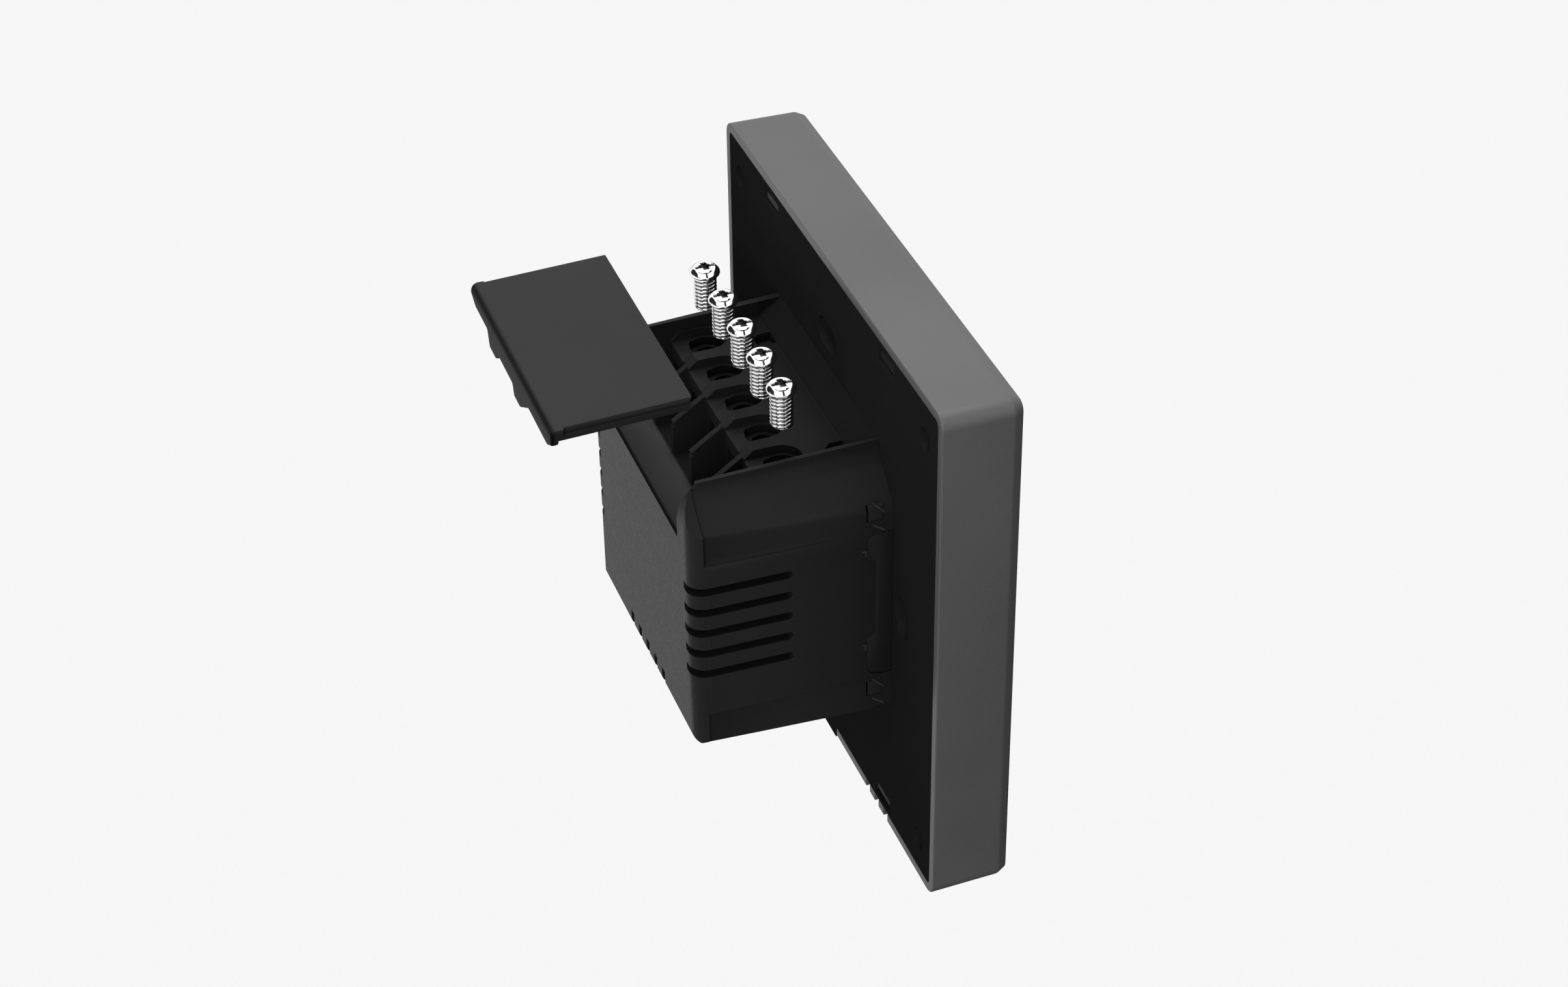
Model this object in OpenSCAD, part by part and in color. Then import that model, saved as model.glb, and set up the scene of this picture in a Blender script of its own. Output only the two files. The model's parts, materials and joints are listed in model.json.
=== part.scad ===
// In-wall smart switch touch panel, shown from behind with its terminal cover
// and its five terminal screws lifted off, as for wiring.
// The wall plane is y = 0. The glass faces -Y and the in-wall box reaches to +Y.
// The origin is the centre of the panel in the wall plane. X is to the right seen from the front.

/* [Front frame] */
// Side of the square front frame
frame_w = 86; // [84:0.5:96]
// Depth of the frame in front of the wall
frame_depth = 12.1; // [12:0.1:16]
// Radius of the frame's four outer corners
frame_r = 2.4; // [1.5:0.1:4]
// Thickness of the frame's wall at the rear rim
frame_wall = 1.5; // [1.2:0.1:2.2]
// Depth of the bevel round the front edge
bevel_depth = 1.5; // [0.8:0.1:2]
// Inward width of the bevel round the front edge
bevel_inset = 0.75; // [0.4:0.05:0.9]
// Amount by which the frame's sides lean in towards the bevel
frame_draft = 0.2; // [0.1:0.05:0.3]
// Width of the ledge that the front pieces are seated against
ledge_w = 0.4; // [0.3:0.05:0.8]

/* [Glass and display] */
// Thickness of the touch glass
glass_t = 1.8; // [1:0.1:1.9]
// Distance of the glass and the buttons behind the front plane
front_recess = 0.15; // [0.05:0.05:0.3]
// Gap round the glass and round each button
front_gap = 0.2; // [0.1:0.05:0.4]
// Thickness of the adhesive gasket behind the glass
gasket_t = 0.3; // [0.15:0.05:0.3]
// Width of the adhesive gasket
gasket_w = 1.8; // [1:0.1:2.4]
// Width of the glass beside the display module
display_side = 2.4; // [2:0.1:5]
// Height of the glass above and below the display module
display_end = 7.2; // [6.8:0.1:10]
// Thickness of the display module
display_t = 2.4; // [1.8:0.1:3]

/* [Buttons] */
// Height of the button strip under the glass
strip_h = 15.2; // [13:0.1:16]
// Thickness of a button's cap
cap_t = 1.5; // [1.2:0.1:1.5]
// Travel of a button
button_travel = 0.4; // [0.2:0.05:0.4]
// Radius of a button's plunger
plunger_r = 2.6; // [1.8:0.1:3]
// Radius of a button's guide pins
guide_r = 1.2; // [0.8:0.1:1.5]
// Distance of a guide pin from its plunger
guide_x = 12.5; // [9:0.5:13]
// Clearance round plungers and guide pins
guide_gap = 0.2; // [0.15:0.05:0.4]
// Length of the light bar in a button
light_w = 7; // [4:0.5:10]
// Height of the light bar in a button
light_h = 0.9; // [0.6:0.1:1.5]

/* [Carrier and control board] */
// Thickness of the carrier's plate
carrier_t = 2; // [1.6:0.1:2.2]
// Thickness of the carrier's outer wall
carrier_wall = 1.2; // [0.9:0.1:1.6]
// Gap between two pieces that slide into each other
slip = 0.15; // [0.1:0.05:0.25]
// Thickness of the control board
control_t = 1.2; // [0.8:0.1:1.4]
// Gap between the control board and the carrier's wall
board_gap = 0.8; // [0.5:0.1:1.5]
// Height of the space between carrier and control board
control_gap = 1.7; // [1.6:0.1:2]
// Radius of the screw bosses under the control board
boss_r = 2.1; // [1.8:0.1:2.6]
// Radius of the small screws' shanks
small_screw_r = 0.9; // [0.7:0.05:1.1]
// Distance of the control board's screws from its side edges
screw_side = 3.85; // [3:0.05:8]
// Distance of the control board's screws from its top and bottom edges
screw_end = 2.75; // [2.5:0.05:2.8]

/* [Small parts] */
// Width of the wireless module
wireless_w = 18; // [14:0.1:20]
// Height of the wireless module
wireless_h = 25.4; // [20:0.1:26]
// Thickness of the wireless module's board
wireless_t = 0.8; // [0.6:0.1:1]
// Height of the wireless module's shield
shield_h = 17.4; // [14:0.1:18]
// Width of the shield's rim of bare board
shield_rim = 1; // [0.5:0.1:1.5]
// Space between the wireless module and the board socket
wireless_gap = 2; // [1:0.1:4]
// Distance of the wireless module's middle from the control board's top edge
wireless_end = 21.35; // [18:0.05:24]
// Radius of the sound buzzer
buzzer_r = 4.8; // [4:0.1:5.5]
// Radius of the buzzer's sound hole
buzzer_hole_r = 0.9; // [0.6:0.1:1.2]
// Distance of the buzzer's middle from the control board's side and bottom edges
buzzer_edge = 15.35; // [12:0.05:18]
// Width of the temperature sensor
sensor_w = 3.2; // [2:0.1:4]
// Height of the temperature sensor
sensor_h = 1.6; // [1:0.1:2]
// Distance of the temperature sensor from the control board's side edge
sensor_side = 18.35; // [12:0.05:24]
// Width of the display's flat cable
flex_w = 12; // [8:0.5:16]
// Length of the display's flat cable
flex_len = 32.9; // [26:0.1:34]
// Width of the display's connector
connector_w = 15; // [12:0.5:18]
// Height of the display's connector
connector_h = 3; // [2:0.1:4]
// Distance of the connector from the control board's bottom edge
connector_edge = 8.35; // [8:0.05:9]
// Side of a tact switch
switch_w = 4.4; // [4:0.1:6]
// Height of a tact switch's body
switch_h = 0.8; // [0.6:0.1:1]
// Radius of a tact switch's button
switch_r = 1.1; // [0.8:0.1:1.5]
// Thickness of the pin header's body
header_t = 2.5; // [2:0.1:3]
// Side of the bridge rectifier
bridge_w = 4.6; // [4:0.1:6]
// Thickness of the bridge rectifier
bridge_t = 2.6; // [2:0.1:3]
// Thickness of the transformer core's outer legs
core_leg = 2.2; // [1.8:0.1:3]
// Thickness of the transformer core's two yokes
core_yoke = 1.9; // [1.5:0.1:2.4]
// Clearance of the transformer's winding in its core
winding_gap = 0.2; // [0.1:0.05:0.4]

/* [Base plate] */
// Thickness of the base plate
plate_t = 2.2; // [1.6:0.1:2.4]
// Gap between the base plate and the frame's inner wall
plate_gap = 0.15; // [0.1:0.05:0.3]
// Diameter of the circle that the wall screws are set on
screw_circle = 60; // [60:1:62]
// Length of a wall screw slot, along the circle
slot_len = 6.8; // [5.5:0.1:8]
// Width of a wall screw slot
slot_w = 4.3; // [3.6:0.1:4.8]
// Distance of the snap windows from the middle
snap_x = 22.9; // [18:0.1:26]
// Width of a snap hook
snap_w = 5; // [3:0.1:6]
// Thickness of a snap hook's leg
snap_t = 1; // [0.8:0.1:1.3]
// Clearance round a snap hook
snap_gap = 0.5; // [0.3:0.1:0.8]
// Diameter of the round corner recesses
dimple_d = 3.4; // [2.5:0.1:4]
// Distance of the corner recesses from the base plate's side edges
dimple_side = 4.35; // [3.5:0.05:6]
// Distance of the corner recesses from the base plate's top and bottom edges
dimple_end = 5.35; // [4:0.05:7]
// Width of an air slot in the frame's bottom edge
air_slot_w = 1.6; // [1:0.1:2]
// Distance from one air slot to the next
air_slot_pitch = 3.6; // [3:0.1:4.5]
// Width of the prying tab at the bottom edge
tab_w = 6.4; // [4:0.1:8]
// Distance that the prying tab stands out below the frame
tab_out = 0.5; // [0.2:0.1:1]

/* [Rear box] */
// Depth of the box behind the wall plane
box_depth = 30; // [29:0.1:32]
// Distance of the vented side from the panel's middle
box_left = 26.3; // [25:0.1:27.5]
// Distance of the plain side from the panel's middle
box_right = 20.4; // [20.2:0.1:21]
// Distance of the box's top edge from the panel's middle
box_top = 25; // [24.8:0.1:26]
// Distance of the box's underside from the panel's middle
box_bottom = 19.3; // [18.5:0.1:20]
// Amount by which each side leans in over the box's depth
draft = 0.7; // [0.3:0.05:0.8]
// Lean of the underside over the box's depth
under_draft = 1; // [0.5:0.05:1.2]
// Radius of the upright edges at the rear
rear_r = 2.4; // [1.5:0.1:3]
// Radius of the lower edge at the rear
rear_low_r = 1.4; // [0.8:0.1:2]
// Radius of the lower corner on the vented side
near_low_r = 0.9; // [0.5:0.1:2]
// Radius of the lower corner on the plain side
far_low_r = 4.2; // [2:0.1:4.5]
// Wall thickness of the box
box_wall = 1.6; // [1.2:0.1:1.9]
// Height of the root of the slope on the vented side
slope_root_z = 22.8; // [22.2:0.1:23]
// Height of the foot of the slope on the vented side
slope_foot_z = 17.6; // [17:0.1:18]
// Length of the soft bend at each end of the slope
slope_soft = 1.6; // [0.8:0.1:2.2]
// Depth of the shallow panels above and below the vents
panel_depth = 0.5; // [0.3:0.05:0.8]
// Width of the raised rim behind the panels
rim_w = 2.1; // [1.6:0.1:2.6]

/* [Vents] */
// Number of vents on each face
vents = 5; // [3:1:5]
// Distance from one vent to the next
vent_pitch = 3.65; // [3.2:0.01:3.7]
// Height of a vent
vent_h = 1.35; // [1:0.05:1.8]
// Height of the middle vent on the sides
vent_z = 2; // [1:0.1:3]
// Length of a vent along the box
vent_len = 15; // [8:0.1:16]
// Length of a vent round the corner, on the rear face
vent_wrap = 3.1; // [2.6:0.1:5]

/* [Terminal recess] */
// Offset of the terminals' middle from the panel's middle
recess_x = -0.2; // [-1:0.1:0]
// Width of the recess
recess_w = 38.9; // [38.6:0.1:39]
// Height of the deck that the cover lies on
deck_z = 22.65; // [22.3:0.05:23]
// Thickness of the deck at the troughs
deck_t = 1.2; // [0.8:0.1:1.4]
// Depth of a trough below the deck
trough_depth = 1.45; // [1:0.05:1.6]
// Distance from the wall plane to the start of the deck
deck_start = 3.7; // [3:0.1:4.5]
// Distance from the wall plane to the wire entry face
entry_y = 17.6; // [17:0.1:18.5]
// Distance from the wall plane to the ends of the partitions
rib_end = 22.7; // [21.5:0.1:23.5]
// Thickness of a partition
rib_t = 1; // [0.8:0.1:1.3]
// Height of a partition's rear corner
rib_corner_z = 17.9; // [17:0.1:19]
// Height of the sill at the rear face
sill_z = 16.1; // [15.5:0.1:17]
// Height of the floor in front of the wire entries
sill_floor_z = 12.4; // [12.3:0.1:13]
// Distance from the wall plane to the ends of the recess's side walls
wall_end = 27; // [26:0.1:28]
// Height of the foot of those wall ends
wall_foot_z = 20.3; // [20:0.1:20.4]
// Thickness of the recess's side wall on the vented side
recess_wall = 0.7; // [0.6:0.1:1]
// Width of the two latch pockets at the front of the deck
pocket_w = 3; // [2:0.1:3.4]
// Distance from the wall plane to the far side of the latch pockets
pocket_end = 6.6; // [6:0.1:7]

/* [Terminals] */
// Number of terminals
poles = 5; // [3:1:5]
// Distance from one terminal to the next
pole_pitch = 8.1; // [7.9:0.05:8.1]
// Width of a trough
trough_w = 5.8; // [5.2:0.1:5.9]
// Distance from the wall plane to the screws' axes
screw_y = 12.9; // [12.6:0.1:13.2]
// Radius of a terminal screw's thread
thread_r = 1.6; // [1.4:0.05:1.7]
// Pitch of a terminal screw's thread
thread_pitch = 0.75; // [0.6:0.05:0.8]
// Length of a terminal screw's thread
thread_len = 5.6; // [4.5:0.1:5.9]
// Radius of a terminal screw's head
head_r = 2.2; // [2:0.05:2.3]
// Height of the side of a terminal screw's head
head_h = 0.6; // [0.5:0.1:0.8]
// Height of the dome on a terminal screw's head
dome_h = 0.6; // [0.4:0.05:0.7]
// Width of the drive slot and of its cross arms
drive_w = 0.7; // [0.5:0.05:0.8]
// Depth of the drive slot below the top of the dome
drive_depth = 0.75; // [0.5:0.05:0.9]
// Length of the drive's cross arms, from end to end
cross_len = 2.2; // [1.6:0.1:3]
// Width of the trough's floor left round the wide end of the keyhole under a terminal screw
keyhole_rim = 0.3; // [0.1:0.05:0.5]
// Width of the keyhole's narrow end
keyhole_w = 4.4; // [4:0.1:4.6]
// Distance of the keyhole's narrow end from the wall plane
keyhole_end = 15.3; // [15:0.1:15.6]
// Radius of the corners of the keyhole's narrow end
keyhole_r = 0.9; // [0.5:0.1:1.5]
// Radial clearance round a screw's thread in its clamp
thread_gap = 0.1; // [0.05:0.05:0.2]
// Width of a wire clamp
clamp_w = 5.9; // [5.6:0.1:6]
// Depth of a wire clamp
clamp_d = 6; // [5.5:0.1:6.2]
// Thickness of a wire clamp's walls
clamp_t = 0.7; // [0.5:0.1:0.8]
// Thickness of a wire clamp's threaded top
clamp_top_t = 1.2; // [1:0.1:1.4]
// Height that the terminal screws are lifted for wiring
screw_lift = 14; // [10:0.1:14.4]

/* [Terminal cover] */
// Length of the cover along the box
cover_len = 20.2; // [19:0.1:20.6]
// Clearance between the cover and the recess's side walls
cover_gap = 0.15; // [0.1:0.05:0.3]
// Thickness of the cover's rear lip
lip_t = 1.2; // [1:0.1:1.4]
// Radius of the cover's bent rear edge
lip_r = 1.2; // [0.8:0.1:1.4]
// Amount by which the rear lip stands out on each side
lip_out = 0.3; // [0.1:0.1:0.5]
// Height of the rear lip under the cover
lip_h = 2.2; // [1.5:0.1:2.3]
// Height of the lower lip between the two tongues
lip_mid_h = 1.9; // [1:0.1:2.2]
// Further height of the two tongues
tongue_h = 1.3; // [0.6:0.1:1.5]
// Distance that the cover is drawn back for wiring
cover_back = 18.9; // [17:0.1:20]
// Distance that the cover is lifted for wiring
cover_lift = 13.6; // [13:0.1:16]

/* [Power board] */
// Distance from the wall plane to the power board
power_y = 3.2; // [2.6:0.1:4]
// Thickness of the power board
power_t = 1.6; // [1.2:0.1:1.6]
// Gap between the power board and the box's walls
power_gap = 1.6; // [1.5:0.1:1.7]
// Width of a relay
relay_w = 10.2; // [9:0.1:10.5]
// Length of a relay
relay_l = 18.6; // [17:0.1:19]
// Height of a relay
relay_h = 15.4; // [12:0.1:16]
// Width of the transformer
transformer_w = 13; // [11:0.1:13.5]
// Height of the transformer
transformer_h = 12.5; // [10:0.1:15]
// Diameter of the input capacitor
input_cap_d = 8; // [6.3:0.1:8.5]
// Length of the input capacitor
input_cap_l = 13; // [9:0.1:16]
// Diameter of the output capacitor
output_cap_d = 5; // [4:0.1:5]
// Length of the output capacitor
output_cap_l = 9; // [7:0.1:12]
// Radius of the varistor's disc
varistor_r = 2.8; // [2:0.1:2.8]
// Side of a square connector pin
pin_w = 0.64; // [0.5:0.02:0.7]
// Distance between two connector pins
pin_pitch = 2.54; // [2.5:0.02:2.54]
// Number of connector pins in a row
pin_count = 8; // [4:1:8]
// Distance of a connector pin's tip from the end of its socket
pin_clear = 0.95; // [0.3:0.05:1.5]
// Thickness of the insulating sheet
sheet_t = 0.4; // [0.2:0.1:0.6]

/* [Hidden] */
$fn = 48;

// Overshoot that keeps cuts clear of the faces they pass
e = 0.5;

// Front stack, each value a distance from the wall plane along -Y
glass_front = frame_depth - front_recess;
glass_back = glass_front - glass_t;
carrier_front = glass_back - gasket_t;
carrier_back = carrier_front - carrier_t;
display_front = carrier_front;
control_front = carrier_back - control_gap;
control_back = control_front - control_t;
part_room = control_back - plate_t;
inner_half = frame_w / 2 - frame_wall;
front_half = inner_half - ledge_w;
glass_half = front_half - front_gap;
strip_top = -glass_half + strip_h;
glass_bottom = strip_top + front_gap;
glass_mid_z = (glass_half + glass_bottom) / 2;
glass_h = glass_half - glass_bottom;
carrier_half = inner_half - slip;
control_half = carrier_half - carrier_wall - board_gap;
plate_half = inner_half - plate_gap;
button_w = glass_half - front_gap / 2;
button_mid_x = (glass_half + front_gap / 2) / 2;
button_mid_z = -glass_half + strip_h / 2;
light_drop = strip_h / 2 - 2.4;
socket_w = pin_count * pin_pitch + 1.6;
socket_h = 2 * pin_pitch + 1.8;
socket_z = 6;
snap_z = plate_half - 2.6;
pin_reach = control_back - 0.4 - pin_clear;
display_w = 2 * (glass_half - display_side);
display_h = glass_h - 2 * display_end;
control_screw_x = control_half - screw_side;
control_screw_z = control_half - screw_end;
connector_z = -control_half + connector_edge;

// Rear box
box_w = box_left + box_right;
box_mid_x = (box_right - box_left) / 2;
cavity_left = -box_left + box_wall + draft;
cavity_right = box_right - box_wall - draft;
cavity_bottom = -box_bottom + box_wall + under_draft;
cavity_top = sill_floor_z - box_wall;
cavity_rear = box_depth - box_wall;
cavity_side = box_wall + draft;
wall_left = recess_x - recess_w / 2;
wall_right = recess_x + recess_w / 2;
wall_out = wall_left - recess_wall;
trough_z = deck_z - trough_depth;
bay_top = trough_z - deck_t;
bay_rear = entry_y - 1.1;
slope_start = entry_y - 1.4;
pocket_x = [-17.2, 12.7];
clip_z = [16.8, -14.8];
clip_window = 2.6;
clip_gap = 0.2;
clip_y = [1.4, 4];
rim_gap = 0.25;
hook_t = 0.9;
clip_hook = 2.2;
notch_z = [-12.3, 13.4];
notch_y = 2.7;
deep_notches = [8.9, -5.3];
deep_y = 3.9;
low_step = 1;
pip_z = [10, -6.9];
pip_w = 0.8;
panel_z = [13.7, -12.8];
panel_start = 4;
panel_end = box_depth - rim_w;
hollow_top = clip_z[0] + clip_hook / 2 + 0.25;
// Depth and drop of the rim's rounded top, from the rear face and the box's top
rim_curve = [[2.6, 0.6], [2.1, 1.3], [1.2, 2.3], [0.4, 3.9], [-0.01, 5.6]];
groove_x = [-9.7, 11.8];
groove_w = 0.25;

// Terminals
pole_x = [for (i = [0 : poles - 1]) recess_x + (i - (poles - 1) / 2) * pole_pitch];
clamp_z1 = bay_top;
clamp_z0 = sill_floor_z + 0.3;
clamp_y0 = screw_y - clamp_d / 2;
head_seat = clamp_z1 + 0.1;
window_z0 = clamp_z0 + clamp_t;
window_z1 = clamp_z1 - clamp_top_t;
bar_t = 0.6;
wire_w = clamp_w - 2 * clamp_t;

// Terminal cover, first as it is seated
cover_y1 = wall_end + lip_t;
cover_y0 = cover_y1 - cover_len;
cover_z0 = deck_z + 0.1;
cover_front_z = box_top - 0.12;
cover_rear_z = box_top - draft + 0.05;
cover_half = recess_w / 2 - cover_gap;

// Power board
power_back = power_y + power_t;
power_left = cavity_left + power_gap;
power_right = cavity_right - power_gap;
power_bottom = cavity_bottom + power_gap;
power_top = cavity_top - 0.4;
rail_lap = 0.8;
rail_t = 1.6;

// A block from one corner to the other
module block(lo, hi) {
    translate(lo) cube(hi - lo);
}

// An outline in X and Z, carried from y0 to y1
module along_y(y0, y1) {
    translate([0, y1, 0]) rotate([90, 0, 0]) linear_extrude(y1 - y0) children();
}

// An outline in Y and Z, carried from x0 to x1
module along_x(x0, x1) {
    translate([x0, 0, 0]) rotate([90, 0, 90]) linear_extrude(x1 - x0) children();
}

// An outline in X and Y, carried from z0 to z1
module along_z(z0, z1) {
    translate([0, 0, z0]) linear_extrude(z1 - z0) children();
}

// A rectangle with round corners, about the origin
module round_rect(w, h, r) {
    square([w - 2 * r, h], center = true);
    square([w, h - 2 * r], center = true);
    for (sx = [-1, 1], sz = [-1, 1]) {
        translate([sx * (w / 2 - r), sz * (h / 2 - r)]) circle(r);
    }
}

// The waste that a fillet of radius r takes off a corner at p, whose sides run towards dir
module corner_waste(p, r, dir) {
    translate([p[0] + dir[0] * r, p[1] + dir[1] * r]) difference() {
        translate([dir[0] > 0 ? -r - e : 0, dir[1] > 0 ? -r - e : 0]) square(r + e);
        circle(r);
    }
}

// A slot with round ends, its long side along X, about the origin
module slot(len, w) {
    square([len - w, w], center = true);
    for (s = [-1, 1]) translate([s * (len - w) / 2, 0]) circle(w / 2);
}

// A small screw that points to -Y, with its head's underside at the origin
module small_screw(len) {
    rotate([90, 0, 0]) cylinder(r = small_screw_r, h = len);
    difference() {
        rotate([-90, 0, 0]) cylinder(r = small_screw_r * 1.9, h = 0.9);
        block([-small_screw_r * 1.2, 0.4, -0.2], [small_screw_r * 1.2, 2, 0.2]);
        block([-0.2, 0.4, -small_screw_r * 1.2], [0.2, 2, small_screw_r * 1.2]);
    }
}

// The frame's outer form: four turned corners, and two bars that fill the space between them
module frame_form() {
    m = frame_w / 2 - frame_r;
    edge = [[frame_r, 0], [frame_r - frame_draft, frame_depth - bevel_depth],
        [frame_r - frame_draft - bevel_inset, frame_depth]];
    section = concat([for (p = edge) [-p[1], m + p[0]]],
        [for (i = [2, 1, 0]) [-edge[i][1], -m - edge[i][0]]]);
    for (sx = [-1, 1], sz = [-1, 1]) translate([sx * m, 0, sz * m]) rotate([90, 0, 0])
        rotate_extrude() polygon(concat([[0, 0]], edge, [[0, frame_depth]]));
    along_x(-m, m) polygon(section);
    rotate([0, 90, 0]) along_x(-m, m) polygon(section);
}

module bezel_frame() color([0.30, 0.30, 0.31]) difference() {
    frame_form();
    along_y(-carrier_front, e) round_rect(2 * inner_half, 2 * inner_half, 1);
    along_y(-frame_depth - e, e) round_rect(2 * front_half, 2 * front_half, 1);
    // Notch for the prying tab
    block([-tab_w / 2 - snap_gap, -1.2, -frame_w / 2 - e], [tab_w / 2 + snap_gap, e, -inner_half + e]);
    // Air slots beside the temperature sensor
    for (i = [0 : 2]) {
        x = -control_half + sensor_side + (i - 1) * air_slot_pitch - air_slot_w / 2 + 0.6;
        block([x, -1.6, -frame_w / 2 - e], [x + air_slot_w, e, -inner_half + e]);
    }
}

module front_glass() color([0.02, 0.02, 0.025]) {
    along_y(-glass_front, -glass_back) translate([0, glass_mid_z]) round_rect(2 * glass_half, glass_h, 0.9);
}

module glass_gasket() color([0.1, 0.1, 0.1]) {
    along_y(-glass_back, -carrier_front) translate([0, glass_mid_z]) difference() {
        round_rect(2 * glass_half - 1, glass_h - 1, 0.9);
        square([2 * glass_half - 1 - 2 * gasket_w, glass_h - 1 - 2 * gasket_w], center = true);
    }
}

module display_module() color([0.05, 0.05, 0.07]) {
    along_y(-display_front, -display_front + display_t) translate([0, glass_mid_z])
        round_rect(display_w, display_h, 0.6);
}

// Places of a button's guide pins, to each side of its plunger
module guide_places(side) {
    for (s = [-1, 1]) translate([side * button_mid_x + s * guide_x, 0, button_mid_z]) children();
}

// Places of the four snap hooks, two at the top edge and two at the bottom edge
module snap_places() {
    for (sx = [-1, 1], sz = [0, 1]) mirror([0, 0, sz]) translate([sx * snap_x, 0, snap_z]) children();
}

module front_carrier() color([0.12, 0.12, 0.12]) {
    difference() {
        union() {
            along_y(-carrier_front, -carrier_back) round_rect(2 * carrier_half, 2 * carrier_half, 0.9);
            along_y(-carrier_back, -plate_t - slip) difference() {
                round_rect(2 * carrier_half, 2 * carrier_half, 0.9);
                square(2 * (carrier_half - carrier_wall), center = true);
            }
            for (sx = [-1, 1], sz = [-1, 1]) translate([sx * control_screw_x, 0, sz * control_screw_z])
                along_y(-carrier_back, -control_front) circle(boss_r);
        }
        along_y(-carrier_front - e, -carrier_back + e) translate([0, glass_mid_z])
            square([display_w + 2 * slip, display_h + 2 * slip], center = true);
        for (side = [-1, 1]) {
            translate([side * button_mid_x, 0, button_mid_z])
                along_y(-carrier_front - e, -carrier_back + e) circle(plunger_r + guide_gap);
            guide_places(side) along_y(-carrier_front - e, -carrier_back + e) circle(guide_r + guide_gap);
        }
        for (sx = [-1, 1], sz = [-1, 1]) translate([sx * control_screw_x, 0, sz * control_screw_z])
            along_y(-carrier_back - 1, -control_front + e) circle(small_screw_r + 0.05);
    }
    // The hooks bend on the real panel, so their noses are drawn clear of the base plate
    snap_places() {
        along_x(-snap_w / 2, snap_w / 2) polygon([[-carrier_back, 0], [-carrier_back, snap_t],
            [-plate_t - slip, snap_t], [-0.9, snap_t + snap_gap * 0.8], [-0.3, snap_t], [-0.3, 0]]);
    }
}

module control_board() color([0.05, 0.18, 0.1]) {
    along_y(-control_front, -control_back) difference() {
        round_rect(2 * control_half, 2 * control_half, 1);
        for (sx = [-1, 1], sz = [-1, 1]) {
            translate([sx * control_screw_x, sz * control_screw_z]) circle(small_screw_r + 0.1);
            translate([sx * snap_x, sz * (snap_z + snap_t / 2)]) square([snap_w + 1.2, 2.6], center = true);
        }
    }
}

module control_screws() color([0.7, 0.7, 0.72]) {
    for (sx = [-1, 1], sz = [-1, 1]) {
        translate([sx * control_screw_x, -control_back, sz * control_screw_z])
            small_screw(control_t + control_gap + 0.7);
    }
}

module wireless_module() color([0.72, 0.72, 0.7])
    translate([-(socket_w + wireless_w) / 2 - wireless_gap, -control_back, control_half - wireless_end]) {
        block([-wireless_w / 2, 0, -wireless_h / 2], [wireless_w / 2, wireless_t, wireless_h / 2]);
        block([-wireless_w / 2 + shield_rim, wireless_t, -wireless_h / 2 + shield_rim],
            [wireless_w / 2 - shield_rim, part_room - 0.3, -wireless_h / 2 + shield_rim + shield_h]);
    }

module sound_buzzer() color([0.08, 0.08, 0.08])
    translate([control_half - buzzer_edge, -control_back, -control_half + buzzer_edge]) difference() {
        rotate([-90, 0, 0]) cylinder(r = buzzer_r, h = part_room - 0.3);
        translate([0, part_room - 0.8, 0]) rotate([-90, 0, 0]) cylinder(r = buzzer_hole_r, h = 2);
    }

module temperature_sensor() color([0.15, 0.15, 0.16]) {
    translate([-control_half + sensor_side, -control_back, -control_half + 2])
        block([-sensor_w / 2, 0, -sensor_h / 2], [sensor_w / 2, 1.2, sensor_h / 2]);
}

module board_socket() color([0.06, 0.06, 0.06]) difference() {
    block([-socket_w / 2, -control_back, socket_z - socket_h / 2],
        [socket_w / 2, -0.4, socket_z + socket_h / 2]);
    for (s = [-1, 1]) {
        block([-socket_w / 2 + 0.6, -control_back + 0.4, socket_z + s * pin_pitch / 2 - pin_w / 2 - slip],
            [socket_w / 2 - 0.6, e, socket_z + s * pin_pitch / 2 + pin_w / 2 + slip]);
    }
}

module display_connector() color([0.85, 0.83, 0.75]) {
    block([-connector_w / 2, -control_front - 1, connector_z],
        [connector_w / 2, -control_front, connector_z + connector_h]);
}

module display_flex() color([0.55, 0.33, 0.08]) {
    block([-flex_w / 2, -display_front + display_t, connector_z + connector_h + 0.1],
        [flex_w / 2, -display_front + display_t + 0.15, connector_z + connector_h + 0.1 + flex_len]);
}

module tact_switches() color([0.75, 0.75, 0.72]) {
    for (side = [-1, 1]) translate([side * button_mid_x, -control_front, button_mid_z]) {
        block([-switch_w / 2, -switch_h, -switch_w / 2], [switch_w / 2, 0, switch_w / 2]);
        rotate([90, 0, 0]) cylinder(r = switch_r, h = control_gap + 0.15 - button_travel - 0.1);
    }
}

module status_lights() color([0.9, 0.9, 0.8]) {
    for (side = [-1, 1]) {
        translate([side * button_mid_x, -control_front, button_mid_z + light_drop])
            block([-0.8, -0.6, -0.4], [0.8, 0, 0.4]);
    }
}

// A button's cap with its plunger and its two guide pins
module button(side) color([0.05, 0.05, 0.055]) difference() {
    union() {
        along_y(-glass_front, -glass_front + cap_t) translate([side * button_mid_x, button_mid_z])
            round_rect(button_w, strip_h, 0.9);
        translate([side * button_mid_x, 0, button_mid_z])
            along_y(-glass_front + cap_t, -carrier_back - 0.15) circle(plunger_r);
        guide_places(side) along_y(-glass_front + cap_t, -carrier_back - 0.15) circle(guide_r);
    }
    translate([side * button_mid_x, 0, button_mid_z + light_drop])
        along_y(-glass_front - e, -glass_front + cap_t + e) slot(light_w, light_h);
}

module button_light(side) color([0.85, 0.87, 0.9]) {
    translate([side * button_mid_x, 0, button_mid_z + light_drop])
        along_y(-glass_front, -glass_front + cap_t) slot(light_w - 0.1, light_h - 0.1);
}

module button_left() button(-1);

module button_right() button(1);

module button_light_left() button_light(-1);

module button_light_right() button_light(1);

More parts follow.
